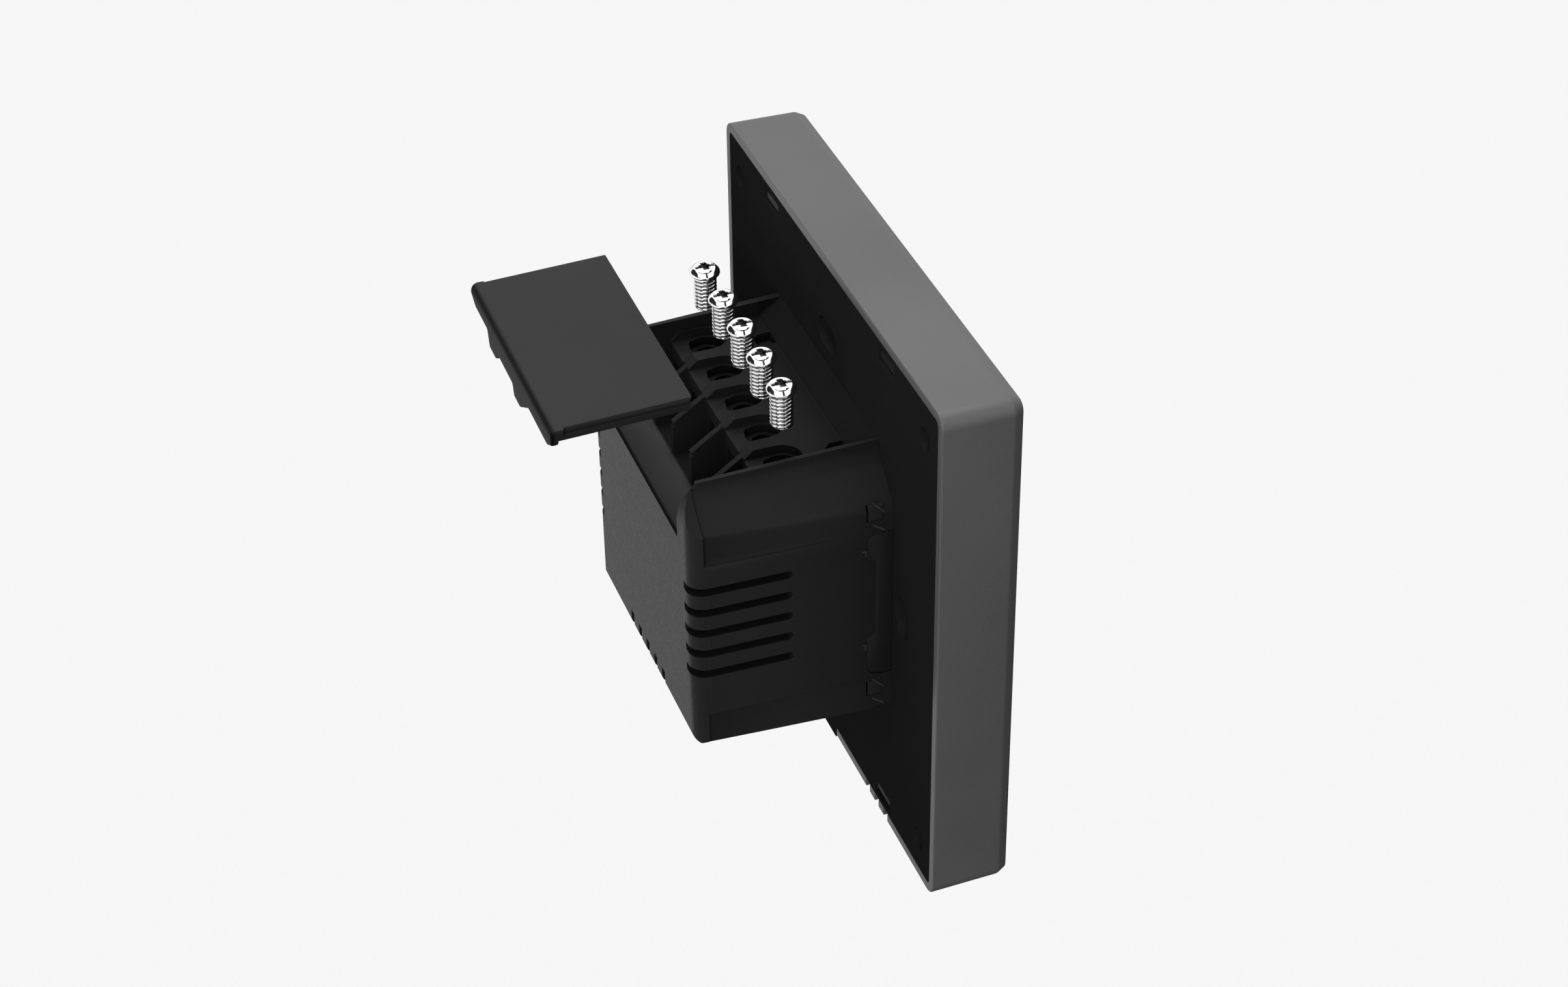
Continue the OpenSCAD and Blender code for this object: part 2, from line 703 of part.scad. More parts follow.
// Outline of the notches in the box's side walls, made smaller by g
module notch_outline(g) {
    for (n = [[notch_z[1], deep_notches[0], 1], [notch_z[0], deep_notches[1], -1]]) polygon([
        [-clip_gap, n[0] - n[2] * g], [1.9, n[0] - n[2] * g], [3.2 - g, n[0] - n[2] * (0.4 + g)],
        [deep_y - g, n[0] - n[2] * (1.2 + g)], [deep_y - g, n[1] + n[2] * g],
        [notch_y - g, n[1] + n[2] * (g - 0.7)], [notch_y - g, 0], [-clip_gap, 0]]);
}

module base_plate() color([0.09, 0.09, 0.09]) {
    difference() {
        union() {
            along_y(-plate_t, 0) round_rect(2 * plate_half, 2 * plate_half, 0.85);
            block([-tab_w / 2, -0.9, -frame_w / 2 - tab_out], [tab_w / 2, 0, -plate_half + 1]);
        }
        // Window under the box, where the connector passes
        block([-socket_w / 2 - 1, -plate_t - e, socket_z - socket_h / 2 - 1],
            [socket_w / 2 + 1, e, socket_z + socket_h / 2 + 1]);
        // Wall screw slots, along their circle
        for (sz = [-1, 1]) translate([0, 0, sz * screw_circle / 2])
            along_y(-plate_t - e, e) slot(slot_len, slot_w);
        for (sx = [-1, 1]) translate([sx * screw_circle / 2, 0, 0])
            along_y(-plate_t - e, e) rotate(90) slot(slot_len, slot_w);
        snap_places() block([-snap_w / 2 - snap_gap, -plate_t - e, -snap_gap],
            [snap_w / 2 + snap_gap, e, snap_t + 2 * snap_gap]);
        for (sx = [-1, 1], sz = [-1, 1])
            translate([sx * (plate_half - dimple_side), 0, sz * (plate_half - dimple_end)])
                along_y(-0.9, e) circle(dimple_d / 2);
        // Fine groove above the box
        block([groove_x[0], -0.3, box_top + 0.2], [groove_x[1], e, box_top + 0.2 + groove_w]);
    }
    for (s = [0, 1]) translate([box_mid_x, 0, 0]) mirror([s, 0, 0]) {
        x = -box_w / 2 + cavity_side + clip_gap;
        rim_x = -box_w / 2 + 0.35;
        // Hooks that hold the box, inside its side walls
        for (z = clip_z) {
            block([x, -clip_gap, z - clip_hook / 2 - 0.1], [x + hook_t, 4.2, z + clip_hook / 2 + 0.1]);
            along_z(z - clip_hook / 2, z + clip_hook / 2)
                polygon([[x + 0.1, clip_y[0] + clip_gap], [rim_x, clip_y[0] + clip_gap],
                    [rim_x, clip_y[0] + clip_gap + 1.2], [x + 0.1, clip_y[1] - clip_gap]]);
        }
        // Rims that fill the notches in the box's side walls
        along_x(rim_x, x + hook_t) notch_outline(rim_gap);
    }
}

// Points of a soft bend from a to b round the corner c
function bend(a, c, b) = [for (t = [0 : 0.2 : 1.01])
    (1 - t) * (1 - t) * a + 2 * t * (1 - t) * c + t * t * b];

// The box's outline seen along Y, its sloping shoulder moved out by out
module box_outline(out) {
    root = [wall_out - out, slope_root_z + out * 0.4];
    foot = [-box_left, slope_foot_z + out * 1.1];
    along = (foot - root) / norm(foot - root);
    polygon(concat([[box_right, -box_bottom], [box_right, box_top], [wall_out - out, box_top]],
        bend(root + [0, slope_soft], root, root + along * slope_soft),
        bend(foot - along * slope_soft, foot, foot - [0, slope_soft]), [[-box_left, -box_bottom]]));
}

// The waste along one lower edge of the box, which leans with the sides; s is -1 on the vented side
module low_waste(s, x, r) {
    translate([x, 0, -box_bottom]) rotate([atan(under_draft / box_depth), 0, s * atan(draft / box_depth)])
        along_y(-0.2, box_depth + 1) corner_waste([0, 0], r, [-s, 1]);
}

// The box's outer form: its outline, narrowed by the lean of its sides and rounded at the rear
module box_form() {
    intersection() {
        union() {
            along_y(0, box_depth + e) box_outline(0);
            along_y(panel_end, box_depth + e) box_outline(panel_depth);
        }
        along_z(-box_bottom - e, box_top + e) difference() {
            polygon([[-box_left, -e], [-box_left, 0], [-box_left + draft, box_depth],
                [box_right - draft, box_depth], [box_right, 0], [box_right, -e]]);
            corner_waste([-box_left + draft, box_depth], rear_r, [1, -1]);
            corner_waste([box_right - draft, box_depth], rear_r, [-1, -1]);
        }
        along_x(-box_left - e, box_right + e) difference() {
            polygon([[-e, -box_bottom], [0, -box_bottom], [box_depth, -box_bottom + under_draft],
                [box_depth, box_top - draft], [0, box_top], [-e, box_top]]);
            corner_waste([box_depth, -box_bottom + under_draft], rear_low_r, [-1, 1]);
        }
    }
}

// Height of the sill's slope at a distance y from the wall plane
function sill_at(y) = sill_floor_z + (sill_z - sill_floor_z) * (y - rib_end) / (box_depth - rib_end);

// The space above the deck, the partitions and the sill
module recess_space() {
    along_x(wall_left, wall_right) polygon([[0, box_top + 0.01], [deck_start, deck_z], [slope_start, deck_z],
        [entry_y, deck_z - 1.2], [entry_y, sill_floor_z], [rib_end, sill_floor_z],
        [box_depth, sill_z], [box_depth + e, sill_z + 0.2], [box_depth + e, box_top + e], [0, box_top + e]]);
    // End of the recess's side wall on the plain side
    along_x(wall_left, box_right + e) polygon([[wall_end, box_top + e], [wall_end, wall_foot_z],
        [wall_end + lip_t + 0.3, wall_foot_z - 0.2], [box_depth + e, wall_foot_z - 1.4],
        [box_depth + e, box_top + e]]);
    // End of the side wall on the vented side, where the recess is as wide as the rim allows
    along_x(wall_out, wall_left + e) polygon([[wall_end, box_top + e], [wall_end, sill_at(wall_end)],
        [box_depth, sill_z], [box_depth + e, sill_z + 0.2], [box_depth + e, box_top + e]]);
    // Rounded top of the rim
    along_x(-box_left, wall_left) polygon(concat([[wall_end, box_top + e]],
        [for (p = rim_curve) [box_depth - p[0], box_top - p[1]]],
        [[box_depth + e, box_top - rim_curve[4][1]], [box_depth + e, box_top + e]]));
    for (x = pole_x) {
        along_z(trough_z, box_top) {
            translate([x, screw_y]) circle(trough_w / 2);
            translate([x - trough_w / 2, screw_y]) square([trough_w, entry_y - screw_y + 0.1]);
        }
        // Keyhole for the screw's head, its narrow end towards the wire
        along_z(bay_top - e, trough_z + e) {
            translate([x, screw_y]) circle(trough_w / 2 - keyhole_rim);
            translate([x - keyhole_w / 2, screw_y]) square([keyhole_w, keyhole_end - screw_y - keyhole_r]);
            translate([x - keyhole_w / 2 + keyhole_r, screw_y])
                square([keyhole_w - 2 * keyhole_r, keyhole_end - screw_y]);
            for (s = [-1, 1]) translate([x + s * (keyhole_w / 2 - keyhole_r), keyhole_end - keyhole_r])
                circle(keyhole_r);
        }
    }
    // Latch pockets at the deck's front edge
    for (x = pocket_x) along_z(trough_z, box_top) polygon([[x - pocket_w / 2, deck_start],
        [x + pocket_w / 2, deck_start], [x + pocket_w / 2, pocket_end - 1],
        [x + pocket_w / 2 - 1, pocket_end], [x - pocket_w / 2, pocket_end]]);
}

// The inner space of the box and the bay under the deck
module box_space() {
    block([cavity_left, -e, cavity_bottom], [cavity_right, cavity_rear, cavity_top]);
    block([cavity_left, -e, cavity_top - e], [wall_out, cavity_rear, hollow_top]);
    difference() {
        block([wall_left, -e, cavity_top - e], [wall_right, bay_rear, bay_top]);
        // Partitions between the terminals
        for (i = [0 : poles - 2]) {
            block([(pole_x[i] + pole_x[i + 1] - rib_t) / 2, clamp_y0 - 3, cavity_top - e],
                [(pole_x[i] + pole_x[i + 1] + rib_t) / 2, bay_rear + e, bay_top + e]);
        }
        // Floor under the clamps
        block([wall_left - e, clamp_y0 - 1, cavity_top], [wall_right + e, bay_rear + e, clamp_z0 - 0.1]);
    }
    // Wire entries
    for (x = pole_x) {
        block([x - wire_w / 2, bay_rear - e, window_z0], [x + wire_w / 2, entry_y + e, window_z1]);
    }
}

// Vents on both sides and under the box, each wrapping round the rear edge
module vent_space() {
    front = box_depth - vent_len + vent_h / 2;
    for (i = [0 : vents - 1]) {
        shift = (i - (vents - 1) / 2) * vent_pitch;
        for (x = [[-box_left - e, -box_left + draft + vent_wrap],
            [box_right - draft - vent_wrap, box_right + e]]) {
            z = vent_z + shift;
            block([x[0], front, z - vent_h / 2], [x[1], box_depth + e, z + vent_h / 2]);
            translate([x[0], front, z]) rotate([0, 90, 0]) cylinder(d = vent_h, h = x[1] - x[0]);
        }
        translate([box_mid_x - 0.5 + shift, 0, -box_bottom - e]) {
            block([-vent_h / 2, front, 0], [vent_h / 2, box_depth + e, e + under_draft + vent_wrap]);
            translate([0, front, 0]) cylinder(d = vent_h, h = vent_wrap + under_draft);
        }
    }
}

// Windows and notches at the box's front edge, where the base plate's hooks and rims meet it
module clip_space() {
    for (x = [-box_left - e, box_right - cavity_side - e]) {
        for (z = clip_z) {
            block([x, clip_y[0], z - clip_window / 2],
                [x + cavity_side + 2 * e, clip_y[1], z + clip_window / 2]);
        }
        along_x(x, x + cavity_side + 2 * e) notch_outline(0);
    }
    // Step under the box's front edge
    along_x(-box_left - e, box_right + e) polygon([[-e, -box_bottom - e], [3.8, -box_bottom - e],
        [3.6, -box_bottom + 0.3], [2.5, -box_bottom + low_step], [-e, -box_bottom + low_step]]);
}

// Shallow panels above and below the vents, which run out towards the wall
module panel_space() {
    for (z = [[panel_z[0], slope_root_z], [-box_bottom - e, panel_z[1]]]) {
        along_z(z[0], z[1]) polygon([[-box_left - e, panel_start],
            [-box_left + draft * panel_start / box_depth, panel_start],
            [-box_left + draft * panel_end / box_depth + panel_depth, panel_end],
            [-box_left - e, panel_end]]);
    }
}

module rear_box() color([0.1, 0.1, 0.1]) {
    difference() {
        box_form();
        low_waste(-1, -box_left, near_low_r);
        low_waste(1, box_right, far_low_r);
        recess_space();
        box_space();
        vent_space();
        clip_space();
        panel_space();
    }
    // Rails that the power board lies against
    for (x = [[cavity_left - 0.1, power_left + rail_lap], [power_right - rail_lap, cavity_right + 0.1]]) {
        block([x[0], power_back + 0.05, power_bottom + 2], [x[1], power_back + rail_t, power_top - 1.5]);
    }
    // Pips on the vented side, over the deep notches
    for (z = pip_z) {
        block([-box_left, deep_y + 0.25, z - pip_w / 2],
            [-box_left + e, deep_y + 0.25 + pip_w, z + pip_w / 2]);
    }
    // Partitions in front of the wire entries
    for (i = [0 : poles - 2]) {
        x = (pole_x[i] + pole_x[i + 1] - rib_t) / 2;
        along_x(x, x + rib_t) difference() {
            polygon([[entry_y - 0.2, sill_floor_z - 0.2], [entry_y - 0.2, deck_z - 1.06],
                [entry_y, deck_z - 1.2], [rib_end, rib_corner_z], [rib_end, sill_floor_z - 0.2]]);
            translate([rib_end, rib_corner_z - 0.9]) rotate(45) square([2, 0.7]);
        }
    }
}

module power_board() color([0.08, 0.24, 0.12]) {
    block([power_left, power_y, power_bottom], [power_right, power_back, power_top]);
}

module insulation_sheet() color([0.75, 0.72, 0.6]) {
    block([power_left, 0.9, power_bottom], [power_right, 0.9 + sheet_t, socket_z - socket_h / 2 - 0.8]);
}

// A relay's case, standing on the power board
module relay(x, z) color([0.16, 0.27, 0.42]) {
    block([x, power_back, z], [x + relay_w, power_back + relay_h, z + relay_l]);
}

module relay_1() relay(power_left + 1, power_bottom + 1);

module relay_2() relay(power_left + relay_w + 2, power_bottom + 1);

// Middle of the transformer
transformer_x = power_right - transformer_w / 2 - 1;
transformer_z = power_bottom + transformer_w / 2 + 1;

module transformer_core() color([0.13, 0.13, 0.14]) difference() {
    translate([transformer_x, 0, transformer_z]) block([-transformer_w / 2, power_back, -transformer_w / 2],
        [transformer_w / 2, power_back + transformer_h, transformer_w / 2]);
    translate([transformer_x, 0, transformer_z])
        block([-transformer_w / 2 + core_leg, power_back + core_yoke, -transformer_w / 2 - e],
            [transformer_w / 2 - core_leg, power_back + transformer_h - core_yoke, transformer_w / 2 + e]);
}

module transformer_winding() color([0.85, 0.7, 0.15]) translate([transformer_x, 0, transformer_z]) {
    x = transformer_w / 2 - core_leg - winding_gap;
    z = transformer_w / 2 - 2 * winding_gap;
    block([-x, power_back + core_yoke + winding_gap, -z],
        [x, power_back + transformer_h - core_yoke - winding_gap, z]);
}

module input_capacitor() color([0.1, 0.12, 0.2]) {
    z = transformer_z + (transformer_w + input_cap_d) / 2 + 1;
    translate([power_right - input_cap_d / 2 - 1, power_back, z])
        rotate([-90, 0, 0]) cylinder(d = input_cap_d, h = input_cap_l);
}

module output_capacitor() color([0.1, 0.12, 0.2]) {
    translate([power_left + output_cap_d / 2 + 2, power_back, power_top - output_cap_d / 2 - 0.3])
        rotate([-90, 0, 0]) cylinder(d = output_cap_d, h = output_cap_l);
}

module varistor() color([0.15, 0.3, 0.6]) {
    translate([box_mid_x - 1.6, power_back + 4.4, power_top - varistor_r - 0.1]) rotate([0, 90, 0])
        cylinder(r = varistor_r, h = 3.2);
    translate([box_mid_x - 0.3, power_back, power_top - varistor_r - 0.5]) cube([0.6, 1.8, 0.8]);
}

module fuse_resistor() color([0.2, 0.5, 0.3]) {
    translate([box_mid_x + 5, power_back, power_top - 2.2]) rotate([-90, 0, 0]) cylinder(r = 1.8, h = 9);
}

module bridge_rectifier() color([0.1, 0.1, 0.1]) {
    translate([box_mid_x - 2 * bridge_w, power_back, power_top - bridge_w - 0.4])
        cube([bridge_w, bridge_t, bridge_w]);
}

module pin_header() color([0.08, 0.08, 0.08]) {
    block([-pin_count * pin_pitch / 2, power_y - header_t, socket_z - pin_pitch],
        [pin_count * pin_pitch / 2, power_y, socket_z + pin_pitch]);
}

module header_pins() color([0.8, 0.7, 0.4]) {
    for (i = [0 : pin_count - 1], s = [-1, 1]) {
        translate([(i - (pin_count - 1) / 2) * pin_pitch - pin_w / 2, -pin_reach,
            socket_z + s * pin_pitch / 2 - pin_w / 2]) cube([pin_w, pin_reach + power_y - header_t, pin_w]);
    }
}

module wire_clamps() color([0.75, 0.62, 0.3]) {
    for (x = pole_x) difference() {
        block([x - clamp_w / 2, clamp_y0, clamp_z0],
            [x + clamp_w / 2, clamp_y0 + clamp_d, clamp_z1 - 0.05]);
        block([x - wire_w / 2, clamp_y0 - e, window_z0],
            [x + wire_w / 2, clamp_y0 + clamp_d + e, window_z1]);
        translate([x, screw_y, window_z1 - e]) cylinder(r = thread_r + thread_gap, h = clamp_top_t + 2 * e);
    }
}

module contact_bars() color([0.8, 0.55, 0.3]) {
    for (x = pole_x) {
        block([x - wire_w / 2 + 0.2, power_back + 0.6, window_z0],
            [x + wire_w / 2 - 0.2, clamp_y0 + clamp_d, window_z0 + bar_t]);
        block([x - 0.7, power_y, power_top + 0.3], [x + 0.7, power_back + 0.6, window_z0 + bar_t]);
    }
}

// A terminal screw on its axis, its head's underside at height z
module terminal_screw(i) color([0.85, 0.85, 0.87]) {
    turns = floor((thread_len - 0.3) / thread_pitch);
    root = thread_r - thread_pitch * 0.5;
    translate([pole_x[i], screw_y, head_seat + screw_lift]) {
        difference() {
            rotate_extrude() polygon(concat([[0, -thread_len], [root - 0.1, -thread_len]],
                [for (k = [0 : turns - 1], p = [[root, 0.05], [thread_r, 0.45], [thread_r, 0.65]])
                    [p[0], -thread_len + 0.1 + (k + p[1]) * thread_pitch]],
                [[root, -0.1], [root, 0], [head_r, 0], [head_r, head_h],
                    [head_r * 0.8, head_h + dome_h * 0.7],
                    [head_r * 0.45, head_h + dome_h], [0, head_h + dome_h]]));
            block([-drive_w / 2, -head_r - e, head_h + dome_h - drive_depth],
                [drive_w / 2, head_r + e, head_h + dome_h + e]);
            block([-cross_len / 2, -drive_w / 2, head_h + dome_h - drive_depth],
                [cross_len / 2, drive_w / 2, head_h + dome_h + e]);
        }
    }
}

module terminal_screw_1() terminal_screw(0);

module terminal_screw_2() terminal_screw(1);

module terminal_screw_3() terminal_screw(2);

module terminal_screw_4() terminal_screw(3);

module terminal_screw_5() terminal_screw(4);

module terminal_cover() color([0.12, 0.12, 0.125]) translate([recess_x, cover_back, cover_lift]) {
    // Plate, with its bent rear edge
    along_x(-cover_half, cover_half) difference() {
        polygon([[cover_y0, cover_z0], [cover_y1 - e, cover_z0], [cover_y1, cover_z0 - e],
            [cover_y1, cover_rear_z], [cover_y0, cover_front_z]]);
        corner_waste([cover_y1, cover_rear_z], lip_r, [-1, -1]);
    }
    // Rear lip, a little wider than the plate, with two tongues between the wires
    intersection() {
        along_y(cover_y1 - lip_t + 0.05, cover_y1) polygon([[-cover_half - lip_out, cover_rear_z],
            [-cover_half - lip_out, cover_z0 - lip_h + 1], [-cover_half + 2, cover_z0 - lip_h],
            [-9, cover_z0 - lip_h], [-7.2, cover_z0 - lip_h - lip_mid_h],
            [-4.6, cover_z0 - lip_h - lip_mid_h - tongue_h], [-2.6, cover_z0 - lip_h - lip_mid_h - tongue_h],
            [-1.2, cover_z0 - lip_h - lip_mid_h], [6.4, cover_z0 - lip_h - lip_mid_h],
            [8.6, cover_z0 - lip_h - lip_mid_h - tongue_h], [10.8, cover_z0 - lip_h - lip_mid_h - tongue_h],
            [12.6, cover_z0 - lip_h], [cover_half + lip_out, cover_z0 - lip_h],
            [cover_half + lip_out, cover_rear_z]]);
        along_x(-cover_half - e, cover_half + e) difference() {
            polygon([[cover_y0, 0], [cover_y1, 0], [cover_y1, cover_rear_z], [cover_y0, cover_front_z]]);
            corner_waste([cover_y1, cover_rear_z], lip_r, [-1, -1]);
        }
    }
}

bezel_frame();
front_glass();
glass_gasket();
display_module();
front_carrier();
control_board();
wireless_module();
sound_buzzer();
temperature_sensor();
board_socket();
display_connector();
display_flex();
tact_switches();
status_lights();
control_screws();
button_left();
button_right();
button_light_left();
button_light_right();
base_plate();
rear_box();
power_board();
insulation_sheet();
relay_1();
relay_2();
transformer_core();
transformer_winding();
input_capacitor();
output_capacitor();
varistor();
fuse_resistor();
bridge_rectifier();
pin_header();
header_pins();
wire_clamps();
contact_bars();
terminal_screw_1();
terminal_screw_2();
terminal_screw_3();
terminal_screw_4();
terminal_screw_5();
terminal_cover();
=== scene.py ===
"""Looks of an in-wall touch panel, seen from behind with its terminal cover and its five screws lifted off.

Lengths are in millimetres and are turned into metres by MM. X runs along the wall, Y back into it and Z up.
y = 0 is the face of the wall.
"""

import itertools
import json
import math

import bpy
import numpy as np
from mathutils import Euler, Matrix


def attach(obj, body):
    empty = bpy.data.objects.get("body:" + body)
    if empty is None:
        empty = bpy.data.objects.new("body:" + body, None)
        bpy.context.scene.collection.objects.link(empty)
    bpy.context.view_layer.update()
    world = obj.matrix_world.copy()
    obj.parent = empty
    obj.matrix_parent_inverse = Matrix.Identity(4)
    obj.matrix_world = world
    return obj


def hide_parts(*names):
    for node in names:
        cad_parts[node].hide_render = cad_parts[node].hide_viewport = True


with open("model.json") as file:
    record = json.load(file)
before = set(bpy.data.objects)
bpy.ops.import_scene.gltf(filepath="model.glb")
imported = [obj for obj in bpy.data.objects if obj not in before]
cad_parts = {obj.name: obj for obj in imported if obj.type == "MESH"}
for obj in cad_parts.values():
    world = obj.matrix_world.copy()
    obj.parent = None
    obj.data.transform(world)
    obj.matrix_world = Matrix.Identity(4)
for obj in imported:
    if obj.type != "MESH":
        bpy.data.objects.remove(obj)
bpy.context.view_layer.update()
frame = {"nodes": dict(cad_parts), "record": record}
MM = 0.001

# Front frame
FRAME_HALF = 43.0
FRAME_DEPTH = 12.1
FRAME_WALL = 1.5
FRAME_CORNER = 2.4
FRAME_TAPER = 0.2
BEVEL_WIDTH = 0.75
BEVEL_DEPTH = 1.5
FRONT_LIP = 1.9
FRONT_LIP_BACK = 9.85
TAB_HALF = 3.7
TOOTH_COUNT = 3
TOOTH_PITCH = 3.6
TOOTH_WIDTH = 1.6
TOOTH_START = -25.0

# Touch glass
GLASS_WIDTH = 81.8
GLASS_TOP = 40.9
GLASS_FOOT = -25.5
GLASS_FRONT = -11.95
GLASS_BACK = -10.15
GLASS_CORNER = 0.9
GLASS_EDGE = 0.25

# Box on the back
BOX_DEPTH = 30.0
BOX_MIDDLE = -2.95
BOX_HALF = 23.35
BOX_DRAFT = 0.7
DECK_Z = 22.65
DECK_FRONT = 3.72
DECK_BACK = 16.2
RECESS_LEFT = -19.75
RECESS_RIGHT = 19.35

# Terminals and their screws, where they are shown
POLES = 5
POLE_PITCH = 8.1
POLE_MIDDLE = -0.2
SCREW_Y = 12.9
SCREW_Z = 33.85
SHANK_RADIUS = 1.5
SHANK_LENGTH = 5.6
THREAD_PITCH = 0.62
THREAD_HEIGHT = 0.18
CROWN_TOP = 1.43
CROWN_FALL = 0.12
CROWN_RADIUS = 1.5
SLOT_HALF = 0.33
SLOT_SINK = 0.45
CROSS_HALF = 0.42
CROSS_SINK = 0.7

# Terminal cover: sizes where it is seated, and the way up and back to where it is shown
COVER_LIFT = (-0.2, 18.9, 13.6)
COVER_FRONT = 8.0
COVER_BACK = 28.2
PLATE_HALF = 19.45
PLATE_LENGTH = 19.1
PLATE_FOOT = 22.75
PLATE_FRONT_TOP = 24.88
PLATE_BACK_TOP = 24.35
LIP_HALF = 19.85
LIP_BEND = 1.2
LIP_TOP = 24.42


# Camera

def add_camera():
    """Camera fitted to the corners of the frame and the base plate."""
    place = (-0.352517, 0.132802, 0.278289)
    turn_deg = (53.70986, 0.70046, -110.17033)
    data = bpy.data.cameras.new("camera")
    data.sensor_width = 36.0
    data.lens = 71.885
    data.clip_start = 0.01
    data.clip_end = 20.0
    cam = bpy.data.objects.new("camera", data)
    cam.matrix_world = Matrix.LocRotScale(place, Euler([math.radians(a) for a in turn_deg]), None)
    bpy.context.scene.collection.objects.link(cam)
    bpy.context.scene.camera = cam


# Node helpers

def put(tree, kind, inputs=None, **settings):
    """Adds a node; inputs are constants, or sockets to link from."""
    node = tree.nodes.new(kind)
    for key, value in settings.items():
        setattr(node, key, value)
    for key, value in (inputs or {}).items():
        if isinstance(value, bpy.types.NodeSocket):
            tree.links.new(value, node.inputs[key])
        else:
            node.inputs[key].default_value = value
    return node


def new_group(name, ins, outs):
    """A shader node group with the given sockets: (name, type, default) in, names of values out."""
    tree = bpy.data.node_groups.new(name, "ShaderNodeTree")
    for label, kind, default in ins:
        sock = tree.interface.new_socket(label, in_out="INPUT", socket_type="NodeSocket" + kind)
        if default is not None:
            sock.default_value = default
    for label in outs:
        tree.interface.new_socket(label, in_out="OUTPUT", socket_type="NodeSocketFloat")
    return tree, tree.nodes.new("NodeGroupInput"), tree.nodes.new("NodeGroupOutput")


def use_group(tree, group, coord, **values):
    """Places a group in a material, fed with the coordinates and with its own values."""
    return put(tree, "ShaderNodeGroup", {"Vector": coord, **values}, node_tree=group)


def split(tree, vector):
    """The three parts of a vector as sockets."""
    return put(tree, "ShaderNodeSeparateXYZ", {"Vector": vector}).outputs


def math_node(tree, op, a, b=0.0):
    """Result socket of a two-value sum, product or the like."""
    return put(tree, "ShaderNodeMath", {0: a, 1: b}, operation=op).outputs[0]


def add(tree, first, *others):
    """Sum of sockets and numbers."""
    for other in others:
        first = math_node(tree, "ADD", first, other)
    return first


def less(tree, first, *others):
    """The first value less all the others."""
    for other in others:
        first = math_node(tree, "SUBTRACT", first, other)
    return first


def times(tree, first, *others):
    """Product of sockets and numbers."""
    for other in others:
        first = math_node(tree, "MULTIPLY", first, other)
    return first


def greatest(tree, first, *others):
    """The greatest of sockets."""
    for other in others:
        first = math_node(tree, "MAXIMUM", first, other)
    return first


def remap(tree, value, low, high, to_low, to_high):
    """Result socket of a linear map, held inside its ends."""
    node = put(tree, "ShaderNodeMapRange", {"Value": value, "From Min": low, "From Max": high,
                                            "To Min": to_low, "To Max": to_high})
    return node.outputs["Result"]


def ramp(tree, value, low, high, to_low=0.0, to_high=1.0):
    """A linear map of a coordinate in metres between two places in mm."""
    return remap(tree, value, low * MM, high * MM, to_low, to_high)


def band(tree, value, low, high, soft):
    """1 between two places in mm, 0 outside, with soft edges."""
    rise = ramp(tree, value, low - soft, low + soft)
    fall = ramp(tree, value, high - soft, high + soft, 1.0, 0.0)
    return times(tree, rise, fall)


# Effects shared by the materials

def make_grain_group():
    """Moulded or sprayed texture: a fine pebble and a slow drift of tone."""
    tree, gi, go = new_group("fine_grain", [("Vector", "Vector", None), ("Scale", "Float", 3000.0),
                                            ("Drift", "Float", 0.05)], ["Height", "Rough", "Tone"])
    coord, scale = gi.outputs["Vector"], gi.outputs["Scale"]
    pebble = put(tree, "ShaderNodeTexVoronoi", {"Vector": coord, "Scale": scale}, feature="SMOOTH_F1")
    speck = put(tree, "ShaderNodeTexNoise", {"Vector": coord, "Detail": 3.0,
                                             "Scale": times(tree, scale, 0.6)})
    slow = put(tree, "ShaderNodeTexNoise", {"Vector": coord, "Scale": 35.0, "Detail": 2.0})
    tree.links.new(add(tree, pebble.outputs["Distance"], speck.outputs["Fac"]), go.inputs["Height"])
    tree.links.new(remap(tree, speck.outputs["Fac"], 0.3, 0.7, -0.04, 0.04), go.inputs["Rough"])
    swing = remap(tree, slow.outputs["Fac"], 0.3, 0.7, -1.0, 1.0)
    fine = remap(tree, speck.outputs["Fac"], 0.3, 0.7, -0.6, 0.6)
    drift = times(tree, add(tree, swing, fine), gi.outputs["Drift"])
    tree.links.new(add(tree, drift, 1.0), go.inputs["Tone"])
    return tree


def make_line_group():
    """Fine lines side by side along X, as of drawn or turned metal and of wound tape."""
    tree, gi, go = new_group("fine_lines", [("Vector", "Vector", None), ("Scale", "Float", 2000.0)],
                             ["Height", "Rough"])
    stretch = put(tree, "ShaderNodeMapping", {"Vector": gi.outputs["Vector"], "Scale": (1.0, 0.03, 0.03)})
    noise = put(tree, "ShaderNodeTexNoise", {"Vector": stretch.outputs["Vector"], "Detail": 2.0,
                                             "Scale": gi.outputs["Scale"]})
    tree.links.new(noise.outputs["Fac"], go.inputs["Height"])
    tree.links.new(remap(tree, noise.outputs["Fac"], 0.3, 0.7, -0.08, 0.08), go.inputs["Rough"])
    return tree


